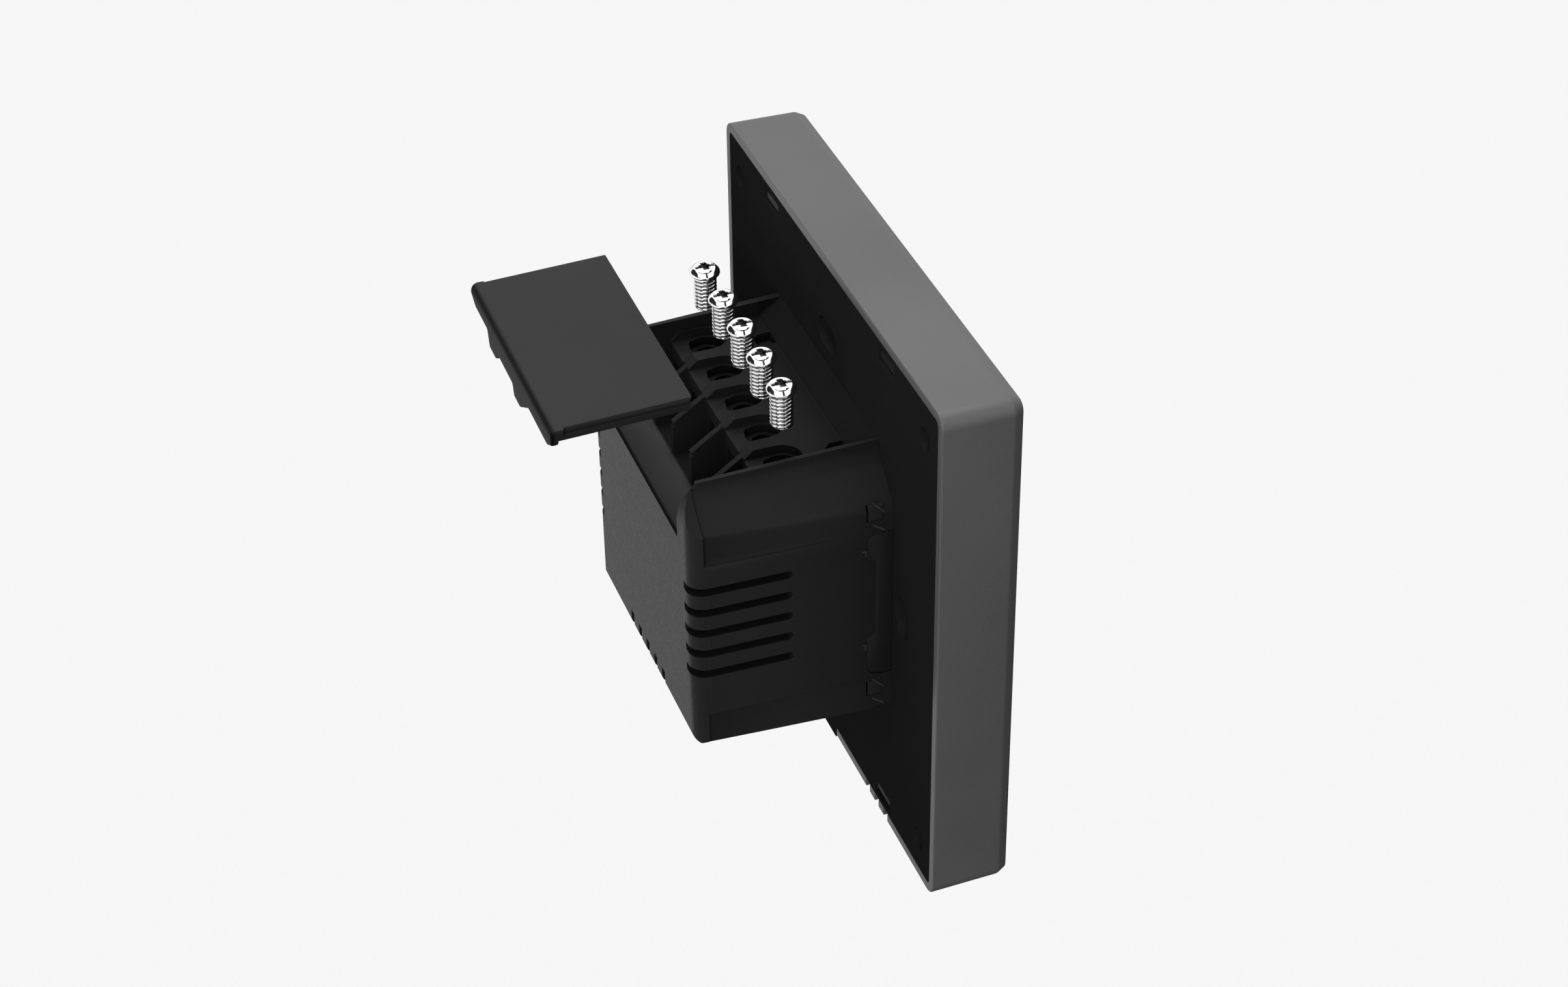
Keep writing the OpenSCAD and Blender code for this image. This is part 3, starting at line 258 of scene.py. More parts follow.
def make_painted_zone_group():
    """Tones of the box, painted light and shade. In the terminal recess the front slope and the rear lip are
    darkened as painted shade, the deck is darkened as painted shade, most towards its front, and the sill is
    paled as painted light. Outside, the vented side is paled as painted light towards its rear, its foot and
    on its shoulder. Shoulder is the mask of the shoulder on that side, whose edges are rounder."""
    slope_shade, lip_shade, sill_light, shoulder_light = 0.5, 0.6, 3.7, 0.16
    sill_left, sill_right = -20.4, 19.6
    tree, gi, go = new_group("recess_painted_light", [("Vector", "Vector", None)], ["Tone", "Rough", "Shoulder"])
    parts = split(tree, gi.outputs["Vector"])
    x, y, z = (parts[k] for k in "XYZ")
    in_recess = band(tree, x, RECESS_LEFT, RECESS_RIGHT, 0.04)
    slope = times(tree, band(tree, y, -2, DECK_FRONT, 0.05), band(tree, z, 22.5, 26, 0.05), in_recess)
    deck = times(tree, band(tree, y, DECK_FRONT, DECK_BACK, 0.3),
                 band(tree, z, DECK_Z - 0.25, DECK_Z + 0.25, 0.05), in_recess)
    on_sill = band(tree, x, sill_left, sill_right, 0.04)
    sill = times(tree, band(tree, y, 22.9, 29.4, 0.25), band(tree, z, 12.0, 16.6, 0.1), on_sill)
    lip = times(tree, band(tree, y, 29.4, 29.98, 0.02), band(tree, z, 15.6, 17, 0.05), on_sill)
    tone = add(tree, times(tree, sill, sill_light), 1.0)
    deck_shade = ramp(tree, y, 3.7, 16, 0.48, 0.2)
    tone = less(tree, tone, times(tree, slope, slope_shade), times(tree, deck, deck_shade),
                times(tree, lip, lip_shade))
    # Painted light on the vented side: paler towards its rear, its foot and on its shoulder.
    rear_light_wash = times(tree, ramp(tree, x, -25.8, -25.2, 1.0, 0.0), ramp(tree, y, 4, 24, 0.03, 0.6))
    foot_light_wash = times(tree, ramp(tree, x, -25.2, -24.6, 1.0, 0.0), ramp(tree, z, -19, -13, 0.18, 0.0))
    shoulder = times(tree, ramp(tree, x, -21.6, -21.1, 1.0, 0.0), band(tree, z, 12.4, 22.4, 0.8))
    tone = add(tree, tone, rear_light_wash, foot_light_wash, times(tree, shoulder, shoulder_light))
    tree.links.new(tone, go.inputs["Tone"])
    tree.links.new(times(tree, shoulder, band(tree, y, 5.5, 27.5, 0.6)), go.inputs["Shoulder"])
    tree.links.new(times(tree, slope, 0.45), go.inputs["Rough"])
    return tree


def make_screw_shade_group():
    """Depth mask of painted shade on the terminal screws: 1 in the drive recess, under the crown, and in the
    thread's roots.
    One screw's place serves them all, as x is counted from the nearest pole."""
    tree, gi, go = new_group("screw_depth", [("Vector", "Vector", None)], ["Mask"])
    parts = split(tree, gi.outputs["Vector"])
    half_pitch = POLE_PITCH / 2
    x = add(tree, parts["X"], (half_pitch - POLE_MIDDLE) * MM)
    x = less(tree, math_node(tree, "FLOORED_MODULO", x, POLE_PITCH * MM), half_pitch * MM)
    y = less(tree, parts["Y"], SCREW_Y * MM)
    z = less(tree, parts["Z"], SCREW_Z * MM)
    radius = math_node(tree, "SQRT", add(tree, times(tree, x, x), times(tree, y, y)))
    bow = math_node(tree, "POWER", math_node(tree, "DIVIDE", radius, CROWN_RADIUS * MM), 2.0)
    crown = less(tree, CROWN_TOP * MM, times(tree, bow, CROWN_FALL * MM))
    drive = times(tree, ramp(tree, less(tree, crown, z), 0.1, 0.3), band(tree, z, 0.5, 1.6, 0.02),
                  ramp(tree, radius, CROWN_RADIUS - 0.04, CROWN_RADIUS, 1.0, 0.0))
    root = times(tree, ramp(tree, radius, SHANK_RADIUS + 0.05, SHANK_RADIUS + 0.14, 1.1, 0.0),
                 band(tree, z, -8, -0.1, 0.02))
    tree.links.new(greatest(tree, drive, root), go.inputs["Mask"])
    return tree


# Materials

def make_material(name, color, rough, metallic=0.0, grain=3000.0, depth=0.02, drift=0.04, lines=0.0, coat=0.0,
                  specular=0.5, edge=0.0, painted_zones=False, drive_shade=0.0, rear_tone=None, low_tone=None):
    """A surface of one colour with grain in its bump, gloss and tone.

    depth is the bump's height and edge the radius of softened edges, both in mm. lines is the scale of drawn
    lines, 0 for none. painted_zones adds the box's painted light and shade. drive_shade is the strength of
    the painted shade in the screws' recesses and thread roots. rear_tone is (start, end, tone): the tone
    changes to that one between two places along Y, in mm. low_tone is the same along Z, but its tone lies
    below the start.
    """
    mat = bpy.data.materials.new(name)
    mat.use_nodes = True
    tree = mat.node_tree
    tree.nodes.clear()
    coord = put(tree, "ShaderNodeTexCoord").outputs["Object"]
    moulded = use_group(tree, GRAIN, coord, Scale=grain, Drift=drift)
    base = put(tree, "ShaderNodeRGB")
    base.outputs[0].default_value = (*color, 1.0)
    height, level = moulded.outputs["Height"], moulded.outputs["Tone"]
    rough_value = add(tree, moulded.outputs["Rough"], rough)
    radius = edge * MM
    # Painted light and shade of the box, by zone.
    if painted_zones:
        painted_zone = use_group(tree, PAINTED_ZONES, coord)
        level = times(tree, level, painted_zone.outputs["Tone"])
        rough_value = add(tree, rough_value, painted_zone.outputs["Rough"])
        radius = add(tree, times(tree, painted_zone.outputs["Shoulder"], 1.4 * MM), radius)
    if rear_tone:
        start, end, tone = rear_tone
        level = times(tree, level, ramp(tree, split(tree, coord)["Y"], start, end, 1.0, tone))
    if low_tone:
        start, end, tone = low_tone
        level = times(tree, level, ramp(tree, split(tree, coord)["Z"], start, end, tone, 1.0))
    # Painted shade in the screws' drive recesses and thread roots.
    if drive_shade:
        recess_shade = use_group(tree, SCREW_SHADE, coord).outputs["Mask"]
        level = times(tree, level, remap(tree, recess_shade, 0.0, 1.0, 1.0, 1.0 - drive_shade))
    if lines:
        drawn = use_group(tree, LINES, coord, Scale=lines)
        height = drawn.outputs["Height"]
        rough_value = add(tree, drawn.outputs["Rough"], rough)
    shade = put(tree, "ShaderNodeVectorMath", {0: base.outputs[0], "Scale": level}, operation="SCALE")
    bump = put(tree, "ShaderNodeBump", {"Height": height, "Strength": 0.5, "Distance": depth * MM})
    if edge:
        soft = put(tree, "ShaderNodeBevel", {"Radius": radius}, samples=8)
        tree.links.new(soft.outputs["Normal"], bump.inputs["Normal"])
    bsdf = put(tree, "ShaderNodeBsdfPrincipled", {
        "Base Color": shade.outputs[0], "Roughness": rough_value, "Normal": bump.outputs["Normal"],
        "Metallic": metallic, "Specular IOR Level": specular, "Coat Weight": coat, "Coat Roughness": 0.08})
    put(tree, "ShaderNodeOutputMaterial", {"Surface": bsdf.outputs[0]})
    return mat


GRAIN = make_grain_group()
LINES = make_line_group()
PAINTED_ZONES = make_painted_zone_group()
SCREW_SHADE = make_screw_shade_group()

FINISHES = {
    "frame_metal": dict(color=(0.149, 0.149, 0.151), rough=0.48, metallic=0.12, grain=5200, depth=0.014,
                        drift=0.08, specular=0.3),
    "black_glass": dict(color=(0.004, 0.004, 0.005), rough=0.06, grain=900, depth=0.0005, drift=0.02,
                        coat=1.0),
    "gasket_foam": dict(color=(0.03, 0.03, 0.03), rough=0.9, grain=4000, depth=0.05),
    "display_metal": dict(color=(0.25, 0.25, 0.27), rough=0.35, metallic=0.9, lines=1500, depth=0.005),
    "inner_plastic": dict(color=(0.010, 0.010, 0.0105), rough=0.6, specular=0.15),
    "board_green": dict(color=(0.015, 0.10, 0.045), rough=0.35, grain=1500, depth=0.01, drift=0.12),
    "shield_metal": dict(color=(0.62, 0.62, 0.60), rough=0.32, metallic=1.0, lines=1800, depth=0.004),
    # The box's plastic carries painted light and shade by zone.
    "black_plastic": dict(color=(0.0165, 0.0165, 0.017), rough=0.42, grain=4200, depth=0.010, drift=0.05,
                          specular=0.10, edge=0.12, painted_zones=True),
    # Painted shade on the cover: rear_tone darkens the lip's rear face, low_tone all below the plate's upper
    # band.
    "cover_plastic": dict(color=(0.0495, 0.0495, 0.0502), rough=0.45, grain=4600, depth=0.010, drift=0.04,
                          specular=0.03, rear_tone=(46.2, 46.8, 0.18), low_tone=(37.3, 37.9, 0.56)),
    "button_gloss": dict(color=(0.006, 0.006, 0.007), rough=0.10, grain=900, depth=0.0005, drift=0.02,
                         coat=1.0),
    "light_clear": dict(color=(0.62, 0.64, 0.67), rough=0.25, grain=1500, depth=0.004),
    "socket_plastic": dict(color=(0.02, 0.02, 0.02), rough=0.5),
    "connector_cream": dict(color=(0.62, 0.58, 0.46), rough=0.45),
    "flex_amber": dict(color=(0.36, 0.17, 0.03), rough=0.3, grain=1200),
    "small_parts": dict(color=(0.05, 0.05, 0.055), rough=0.5),
    "relay_case": dict(color=(0.03, 0.08, 0.20), rough=0.35, grain=3000, depth=0.008),
    "ferrite": dict(color=(0.05, 0.05, 0.053), rough=0.7, grain=2500, depth=0.05, drift=0.1),
    "winding_tape": dict(color=(0.60, 0.42, 0.05), rough=0.35, lines=900, depth=0.02),
    "can_sleeve": dict(color=(0.02, 0.026, 0.06), rough=0.25, grain=1500, depth=0.004),
    "disc_blue": dict(color=(0.03, 0.10, 0.32), rough=0.3, grain=900, depth=0.05),
    "resistor_green": dict(color=(0.06, 0.22, 0.10), rough=0.3, grain=900, depth=0.03),
    "sheet_insulation": dict(color=(0.45, 0.40, 0.28), rough=0.6, lines=900, depth=0.01),
    "pin_gold": dict(color=(0.72, 0.52, 0.22), rough=0.25, metallic=1.0, lines=2500, depth=0.003),
    # The clamps are near black: painted shade of the terminal pits over the clamps' metal.
    "clamp_brass": dict(color=(0.03, 0.029, 0.027), rough=0.5, metallic=1.0, lines=2500, depth=0.004),
    "bar_copper": dict(color=(0.62, 0.42, 0.28), rough=0.32, metallic=1.0, lines=2500, depth=0.004),
    "screw_steel": dict(color=(0.55, 0.55, 0.57), rough=0.28, metallic=1.0, lines=2500, depth=0.004),
    # The chrome carries painted shade in the screws' drive recesses and thread roots.
    "screw_chrome": dict(color=(0.95, 0.95, 0.96), rough=0.07, metallic=1.0, grain=2500, depth=0.0006,
                         drift=0.02, drive_shade=0.85),
}
SLOTS = {name: make_material(name, **finish) for name, finish in FINISHES.items()}
# Paler plastic for the latch ramps and pips: painted highlight.
LATCH_HIGHLIGHT = make_material("latch_highlight_plastic", (0.055, 0.055, 0.056), 0.5, grain=4200, depth=0.010, specular=0.1)
BASE_PLATE = make_material("base_plate_plastic", (0.0228, 0.0228, 0.0235), 0.6, grain=3600, depth=0.014,
                           drift=0.06, specular=0.0, edge=0.12, rear_tone=(0.2, 0.5, 1.15))


# Surfaces

def make_piece(name, verts, faces, slot, body, replaced=(), sharp=38.0):
    """A mesh object at the origin, smooth but for edges sharper than the given angle, riding on a body."""
    mesh = bpy.data.meshes.new(name)
    mesh.from_pydata((np.asarray(verts, float) * MM).tolist(), [], faces)
    mesh.validate()
    mesh.polygons.foreach_set("use_smooth", np.ones(len(mesh.polygons), bool))
    mesh.set_sharp_from_angle(angle=math.radians(sharp))
    mesh.materials.append(SLOTS[slot])
    mesh.update()
    obj = bpy.data.objects.new(name, mesh)
    bpy.context.scene.collection.objects.link(obj)
    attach(obj, body)
    if replaced:
        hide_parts(*replaced)
    return obj


def quads(rows, cols, close_rows=False):
    """Face indices of a grid whose columns wrap round, and whose rows may wrap too."""
    row = np.arange(rows if close_rows else rows - 1)[:, None] * cols
    col = np.arange(cols)[None, :]
    after = (col + 1) % cols
    low = (row + cols) % (rows * cols)
    return np.stack([row + col, row + after, low + after, low + col], -1).reshape(-1, 4).tolist()


def outward(verts, faces):
    """The faces of a closed form, turned round if they enclose a negative volume, the sum of a . (b x c) / 6
    over their triangles."""
    v = np.asarray(verts, float)
    v = v - v.mean(0)
    total = 0.0
    for sides in sorted(set(map(len, faces))):
        q = v[np.array([face for face in faces if len(face) == sides])]
        total += np.einsum("nk,nik->", q[:, 0], np.cross(q[:, 1:-1], q[:, 2:]))
    return faces if total > 0 else [face[::-1] for face in faces]


def close_at_points(grid, first, last):
    """A closed form from a grid of rings and a centre point for each end: its points and faces."""
    rows, cols = grid.shape[:2]
    here = np.arange(cols)
    after = (here + 1) % cols
    end = (rows - 1) * cols
    fans = [np.stack([np.full(cols, rows * cols), after, here], -1),
            np.stack([np.full(cols, rows * cols + 1), end + here, end + after], -1)]
    verts = np.concatenate([grid.reshape(-1, 3), [first, last]])
    return verts, outward(verts, quads(rows, cols) + np.concatenate(fans).tolist())


def close_flat(grid):
    """A closed form from a grid of rings, with a flat face at each end: its points and faces."""
    rows, cols = grid.shape[:2]
    ends = [list(range(cols))[::-1], list(range((rows - 1) * cols, rows * cols))]
    verts = grid.reshape(-1, 3)
    return verts, outward(verts, quads(rows, cols) + ends)


def join(forms):
    """Several closed forms as one list of points and one of faces."""
    verts, faces, start = [], [], 0
    for points, shell in forms:
        verts.append(points)
        faces += [[i + start for i in face] for face in shell]
        start += len(points)
    return np.concatenate(verts), faces


def rounded_outline(w, h, r, steps):
    """Points round a rectangle of sides w and h whose corners have radius r, anticlockwise:
    p(t) = corner centre + r (cos t, sin t), a quarter turn at each corner."""
    t = np.linspace(0, math.pi / 2, steps)
    out = []
    for k, (sx, sy) in enumerate([(1, 1), (-1, 1), (-1, -1), (1, -1)]):
        a = t + k * math.pi / 2
        out.append(np.stack([sx * (w / 2 - r) + r * np.cos(a), sy * (h / 2 - r) + r * np.sin(a)], -1))
    return np.concatenate(out)


def soften(points, radii, steps=5):
    """A closed polyline with an arc at each corner: the corner is its control, and it starts and ends r away
    along each side."""
    pts = np.asarray(points, float)
    t = np.linspace(0, 1, steps)[:, None]
    out = []
    for before, p, after, r in zip(np.roll(pts, 1, 0), pts, np.roll(pts, -1, 0), radii):
        u = (before - p) / np.linalg.norm(before - p)
        v = (after - p) / np.linalg.norm(after - p)
        out.append((1 - t) ** 2 * (p + u * r) + 2 * t * (1 - t) * p + t ** 2 * (p + v * r))
    return np.concatenate(out)


def smooth_rise(x, a, b):
    """0 up to a, 1 from b on, and t^2 (3 - 2 t) between."""
    t = np.clip((x - a) / (b - a), 0, 1)
    return t * t * (3 - 2 * t)


# Frame and glass

def build_frame_shell():
    """The frame: a closed profile (inset d, depth y) carried round a square of half side 43 - d whose corners
    have radius max(2.4 - d, 0.6). The notches for the prying tab and the teeth are cut from its foot."""
    bevel_start = FRAME_DEPTH - BEVEL_DEPTH
    profile = soften([(0, 0), (FRAME_TAPER, -bevel_start), (FRAME_TAPER + BEVEL_WIDTH, -FRAME_DEPTH),
                      (FRONT_LIP, -FRAME_DEPTH), (FRONT_LIP, -FRONT_LIP_BACK), (FRAME_WALL, -FRONT_LIP_BACK),
                      (FRAME_WALL, 0)],
                     [0.22, 0.3, 0.25, 0.12, 0.05, 0.05, 0.12])
    rings = []
    for d, y in profile:
        side = 2 * (FRAME_HALF - d)
        o = rounded_outline(side, side, max(FRAME_CORNER - d, 0.6), 12)
        rings.append(np.stack([o[:, 0], np.full(len(o), y), o[:, 1]], -1))
    grid = np.array(rings)
    verts = grid.reshape(-1, 3)
    faces = outward(verts, quads(*grid.shape[:2], close_rows=True))
    shell = make_piece("frame_shell", verts, faces, "frame_metal", "front_panel", ["bezel_frame"])
    foot, top = -FRAME_HALF - 0.5, -FRAME_HALF + 2
    boxes = [((-TAB_HALF, -1.2, foot), (TAB_HALF, 0.5, top))]
    for i in range(TOOTH_COUNT):
        left = TOOTH_START + i * TOOTH_PITCH
        boxes.append(((left, -1.6, foot), (left + TOOTH_WIDTH, 0.5, top)))
    cut_boxes(shell, boxes)


def cut_boxes(obj, boxes):
    """Takes boxes out of a piece; the cutters are removed again."""
    sides = [(0, 1, 3, 2), (4, 6, 7, 5), (0, 4, 5, 1), (2, 3, 7, 6), (0, 2, 6, 4), (1, 5, 7, 3)]
    for low, high in boxes:
        corners = np.array(list(itertools.product(*zip(low, high)))) * MM
        mesh = bpy.data.meshes.new("cutter")
        mesh.from_pydata(corners.tolist(), [], sides)
        cutter = bpy.data.objects.new("cutter", mesh)
        bpy.context.scene.collection.objects.link(cutter)
        cut = obj.modifiers.new("cut", "BOOLEAN")
        cut.operation = "DIFFERENCE"
        cut.solver = "EXACT"
        cut.object = cutter
        bpy.context.view_layer.update()
        done = bpy.data.meshes.new_from_object(obj.evaluated_get(bpy.context.evaluated_depsgraph_get()))
        obj.modifiers.remove(cut)
        old = obj.data
        done.name = old.name
        obj.data = done
        bpy.data.meshes.remove(old)
        bpy.data.objects.remove(cutter)
        bpy.data.meshes.remove(mesh)
    obj.data.set_sharp_from_angle(angle=math.radians(38))


def build_touch_glass():
    """The glass, a plate with softened edges: rings of its round-cornered outline, inset by s (1 - sin a) and
    set s (1 - cos a) behind the front, with a centre point at each end. The rear edge is half as soft."""
    height = GLASS_TOP - GLASS_FOOT
    middle = (GLASS_TOP + GLASS_FOOT) / 2
    a = np.linspace(0, math.pi / 2, 7)
    rear_edge = GLASS_EDGE / 2
    inset = np.concatenate([[GLASS_EDGE * 2.5], GLASS_EDGE * (1 - np.sin(a)), rear_edge * (1 - np.cos(a))])
    depth = np.concatenate([[GLASS_FRONT], GLASS_FRONT + GLASS_EDGE * (1 - np.cos(a)),
                            GLASS_BACK - rear_edge * (1 - np.sin(a))])
    rings = []
    for d, y in zip(inset, depth):
        o = rounded_outline(GLASS_WIDTH - 2 * d, height - 2 * d, max(GLASS_CORNER - d, 0.15), 9)
        rings.append(np.stack([o[:, 0], np.full(len(o), y), o[:, 1] + middle], -1))
    verts, faces = close_at_points(np.array(rings), (0, depth[0], middle), (0, depth[-1], middle))
    make_piece("touch_glass", verts, faces, "black_glass", "front_panel", ["front_glass"])


# Terminal screws

def screw_crown(radius):
    """Height of the head's crown: 1.43 - 0.12 (r / 1.5)^2."""
    return CROWN_TOP - CROWN_FALL * (radius / CROWN_RADIUS) ** 2


def drive_sink(x, y):
    """How far the crown is pressed down by the slot along Y and the cross in it, with walls 0.06 wide."""
    def bar(u, half):
        """1 inside a bar of the given half width and 0 outside, with a slanted wall between."""
        return np.clip((half - np.abs(u)) / 0.06 + 0.5, 0, 1)
    cross = np.maximum(bar(y, CROSS_HALF) * bar(x, 1.0), bar(x, CROSS_HALF) * bar(y, 0.8))
    return np.maximum(bar(x, SLOT_HALF) * SLOT_SINK, cross * CROSS_SINK)


def build_screw(index, x):
    """A screw on the axis (x, 12.9): a turned form whose shank carries a helical thread,
    r = 1.5 + 0.18 ridge(z / 0.62 - a / 2 pi), under a head with a rounded rim, a conical side and a low
    crown."""
    angle = np.linspace(0, 2 * math.pi, 144, endpoint=False)

    def turned(radius, z):
        """Rings about the screw's axis: (r cos a, r sin a, z)."""
        return np.stack([radius * np.cos(angle), radius * np.sin(angle), z + 0 * angle], -1)

    # Shank, from its foot to the head's underside
    z = np.arange(-SHANK_LENGTH, 0.02, THREAD_PITCH / 20)[:, None]
    phase = (z / THREAD_PITCH - 0.13 * index - angle / (2 * math.pi)) % 1.0
    ridge = np.clip(1.82 - np.abs(phase - 0.5) * 4.6, 0, 1)
    taper = np.clip((z + SHANK_LENGTH) / 0.35, 0, 1)
    shank = turned(SHANK_RADIUS + THREAD_HEIGHT * ridge - 0.3 * (1 - taper) ** 2, z)

    # Head: underside, rim and conical side
    side = np.array([(1.6, 0.03), (1.95, 0.03), (2.08, 0.07), (2.16, 0.16), (2.2, 0.3), (2.2, 0.46),
                     (2.18, 0.58), (2.13, 0.67), (2.0, 0.84), (1.87, 1.0), (1.8, 1.08), (1.73, 1.15),
                     (1.66, 1.21), (1.6, 1.25), (1.55, 1.28), (1.5, 1.3)])
    head = turned(side[:, :1], side[:, 1:])

    # Crown with its drive
    radius = np.linspace(CROWN_RADIUS - 0.04, 0.02, 52)[:, None]
    crown = turned(radius, screw_crown(radius))
    crown[..., 2] -= drive_sink(crown[..., 0], crown[..., 1])

    grid = np.concatenate([shank, head, crown])
    verts, faces = close_at_points(grid, (0, 0, -SHANK_LENGTH), (0, 0, CROWN_TOP - CROSS_SINK))
    number = index + 1
    make_piece("threaded_screw_%d" % number, verts + [x, SCREW_Y, SCREW_Z], faces, "screw_chrome",
               "screw_%d" % number, ["terminal_screw_%d" % number], sharp=50)


# Terminal cover

def plate_top(y):
    """Height of the cover's upper face, which falls a little towards the rear."""
    share = (y - COVER_FRONT) / (COVER_BACK - COVER_FRONT)
    return PLATE_FRONT_TOP + (PLATE_BACK_TOP - PLATE_FRONT_TOP) * share


def cover_plate_form():
    """Rings round a rectangle, each inset by d at the share t of the plate's height: an upright upper band
    over a flared lower one. The rim's foot drops by up to 0.5 towards the rear, and the underside stays
    level."""
    inset_and_share = [(0.5, 1.0), (0.12, 1.0), (0.06, 0.99), (0.02, 0.97), (0.02, 0.94), (0.30, 0.50),
                       (0.30, 0.47), (0.14, 0.46), (0.0, 0.07), (0.06, 0.0), (0.5, 0.0), (0.75, 0.0)]
    rim_width = 0.7
    middle = COVER_FRONT + PLATE_LENGTH / 2
    rings = []
    for d, t in inset_and_share:
        o = rounded_outline(2 * (PLATE_HALF - d), PLATE_LENGTH - 2 * d, 0.18, 5)
        y = o[:, 1] + middle
        foot = PLATE_FOOT - (0.5 * np.clip((y - 16) / 11, 0, 1) if d < rim_width else 0)
        rings.append(np.stack([o[:, 0], y, foot + (plate_top(y) - foot) * t], -1))
    return close_at_points(np.array(rings), (0, middle, plate_top(middle)), (0, middle, PLATE_FOOT))


def cover_lip_form():
    """A bent section carried along X. Its lower edge hangs below the plate by a sum of smooth steps along x:
    a wide skirt and two tongues, less the corners drawn up at both ends. There the section also shrinks in
    an arc."""
    x = np.linspace(-LIP_HALF, LIP_HALF, 181)
    from_end = LIP_HALF - np.abs(x)

    def hump(start, full, fade, end):
        """A smooth rise along x, a level stretch and a smooth fall."""
        return smooth_rise(x, start, full) - smooth_rise(x, fade, end)

    skirt = 1.1 * hump(-9.0, -6.6, 10.9, 11.6)
    tongues = 1.75 * hump(-7.4, -3.6, -1.6, -0.9) + 1.45 * hump(5.6, 8.3, 10.6, 11.4)
    corners = 1.1 * (1 - smooth_rise(from_end, 0.0, 2.6))
    low = PLATE_FOOT - (1.6 - 0.02 * x + skirt + tongues - corners)

    # Section: plate's end, outer bend, outer face, foot, inner face and underside
    inner_start, inner_face, underside = 26.2, 27.05, PLATE_FOOT + 0.1
    bend = np.linspace(0, math.pi / 2, 9)
    bend_y = COVER_BACK - LIP_BEND
    bend_z = LIP_TOP - LIP_BEND
    y = np.concatenate([[inner_start], bend_y + LIP_BEND * np.sin(bend),
                        [COVER_BACK, COVER_BACK, COVER_BACK - 0.08, COVER_BACK - 0.3, inner_face + 0.35,
                         inner_face + 0.09, inner_face, inner_face, inner_start]])
    upper = np.concatenate([[plate_top(inner_start)], bend_z + LIP_BEND * np.cos(bend)])
    lower = np.stack([(bend_z + low) / 2, low + 0.3, low + 0.08, low, low, low + 0.08, low + 0.3,
                      underside + 0 * low, underside + 0 * low], -1)
    z = np.concatenate([np.tile(upper, (len(x), 1)), lower], 1)

    # Ends, drawn in towards the section's middle
    inside = np.clip(from_end / 0.45, 0, 1)
    shrink = (0.86 + 0.14 * np.sqrt(1 - (1 - inside) ** 2))[:, None]
    middle_y, middle_z = 27.3, 23.4
    y = middle_y + (y - middle_y) * shrink
    z = middle_z + (z - middle_z) * shrink
    return close_flat(np.stack([x[:, None] + 0 * y, y, z], -1))


def build_cover():
    """The cover's plate and lip as one piece, lifted up and back from its seat."""
    verts, faces = join([cover_plate_form(), cover_lip_form()])
    make_piece("cover_plate", verts + COVER_LIFT, faces, "cover_plastic", "cover", ["terminal_cover"],
               sharp=32)


# Clips at the box's front edge

def side_prism(side, outline, proud, deep, soft):
    """A plate on the box's side: a closed outline (y, z) swept inwards from the side's face, which leans by
    its draft. It stands proud of that face, and its outer loop is drawn in by the softness of its edge."""
    o = np.asarray(outline, float)
    tangent = np.roll(o, -1, 0) - np.roll(o, 1, 0)
    tangent /= np.linalg.norm(tangent, axis=1)[:, None]
    inward = np.stack([tangent[:, 1], -tangent[:, 0]], -1)
    loops = []
    for step, depth in ((soft, 0.0), (soft * 0.3, soft * 0.3), (0.0, soft), (0.0, deep)):
        y, z = (o + inward * step).T
        below_face = depth - proud + BOX_DRAFT * y / BOX_DEPTH
        loops.append(np.stack([BOX_MIDDLE - side * (BOX_HALF - below_face), y, z], -1))
    return close_flat(np.array(loops))


def rectangle(front, back, low, high):
    """Corners (y, z) of an upright rectangle on the box's side."""
    return [(front, high), (back, high), (back, low), (front, low)]


def slanted_bar(front, back, front_z, back_z, thick):
    """Corners (y, z) of a bar on the box's side that rises or falls from front to back."""
    return [(front, front_z), (back, back_z), (back, back_z - thick), (front, front_z - thick)]


def build_side_clips(side, name):
    """Rim, latch tongues, ramps and pips on one side of the box; side is 1 on the vented side and -1 on the
    plain one. Rim and tongues fill the clip windows, which they overlap by lap."""
    lap = 0.05
    rim = [(0.02, 13.2), (1.9, 13.2), (2.6, 13.08), (3.2 + lap, 12.8), (3.6 + lap, 12.45), (3.9 + lap, 11.9),
           (3.9 + lap, 8.9 - lap), (2.7 + lap, 8.2 - lap), (2.7 + lap, -4.6 + lap), (3.9 + lap, -5.3 + lap),
           (3.9 + lap, -11.0), (3.2 + lap, -11.8), (1.9, -12.12), (0.02, -12.12)]
    fills = [side_prism(side, rim, -0.03, 0.5, 0.06)]
    ramps = []
    for z in (16.8, -14.8):
        fills.append(side_prism(side, rectangle(1.38, 3.72, z - 1.29, z + 1.26), -0.1, 0.9, 0.1))
        for back_z, front_z in ((1.94, 0.23), (-1.74, -2.88)):
            bar = slanted_bar(1.33, 3.05, z + front_z, z + back_z, 0.36)
            ramps.append(side_prism(side, bar, 0.1, 0.5, 0.04))
    for z in (10.1, -6.9):
        ramps.append(side_prism(side, rectangle(3.98, 4.68, z - 0.5, z + 0.5), 0.1, 0.4, 0.06))
    make_piece("latch_rim_" + name, *join(fills), "black_plastic", "wall_unit", sharp=30)
    # The ramps and pips get the paler plastic, a painted highlight.
    piece = make_piece("latch_ramps_" + name, *join(ramps), "cover_plastic", "wall_unit", sharp=30)
    piece.data.materials[0] = LATCH_HIGHLIGHT


# Carried-over nodes

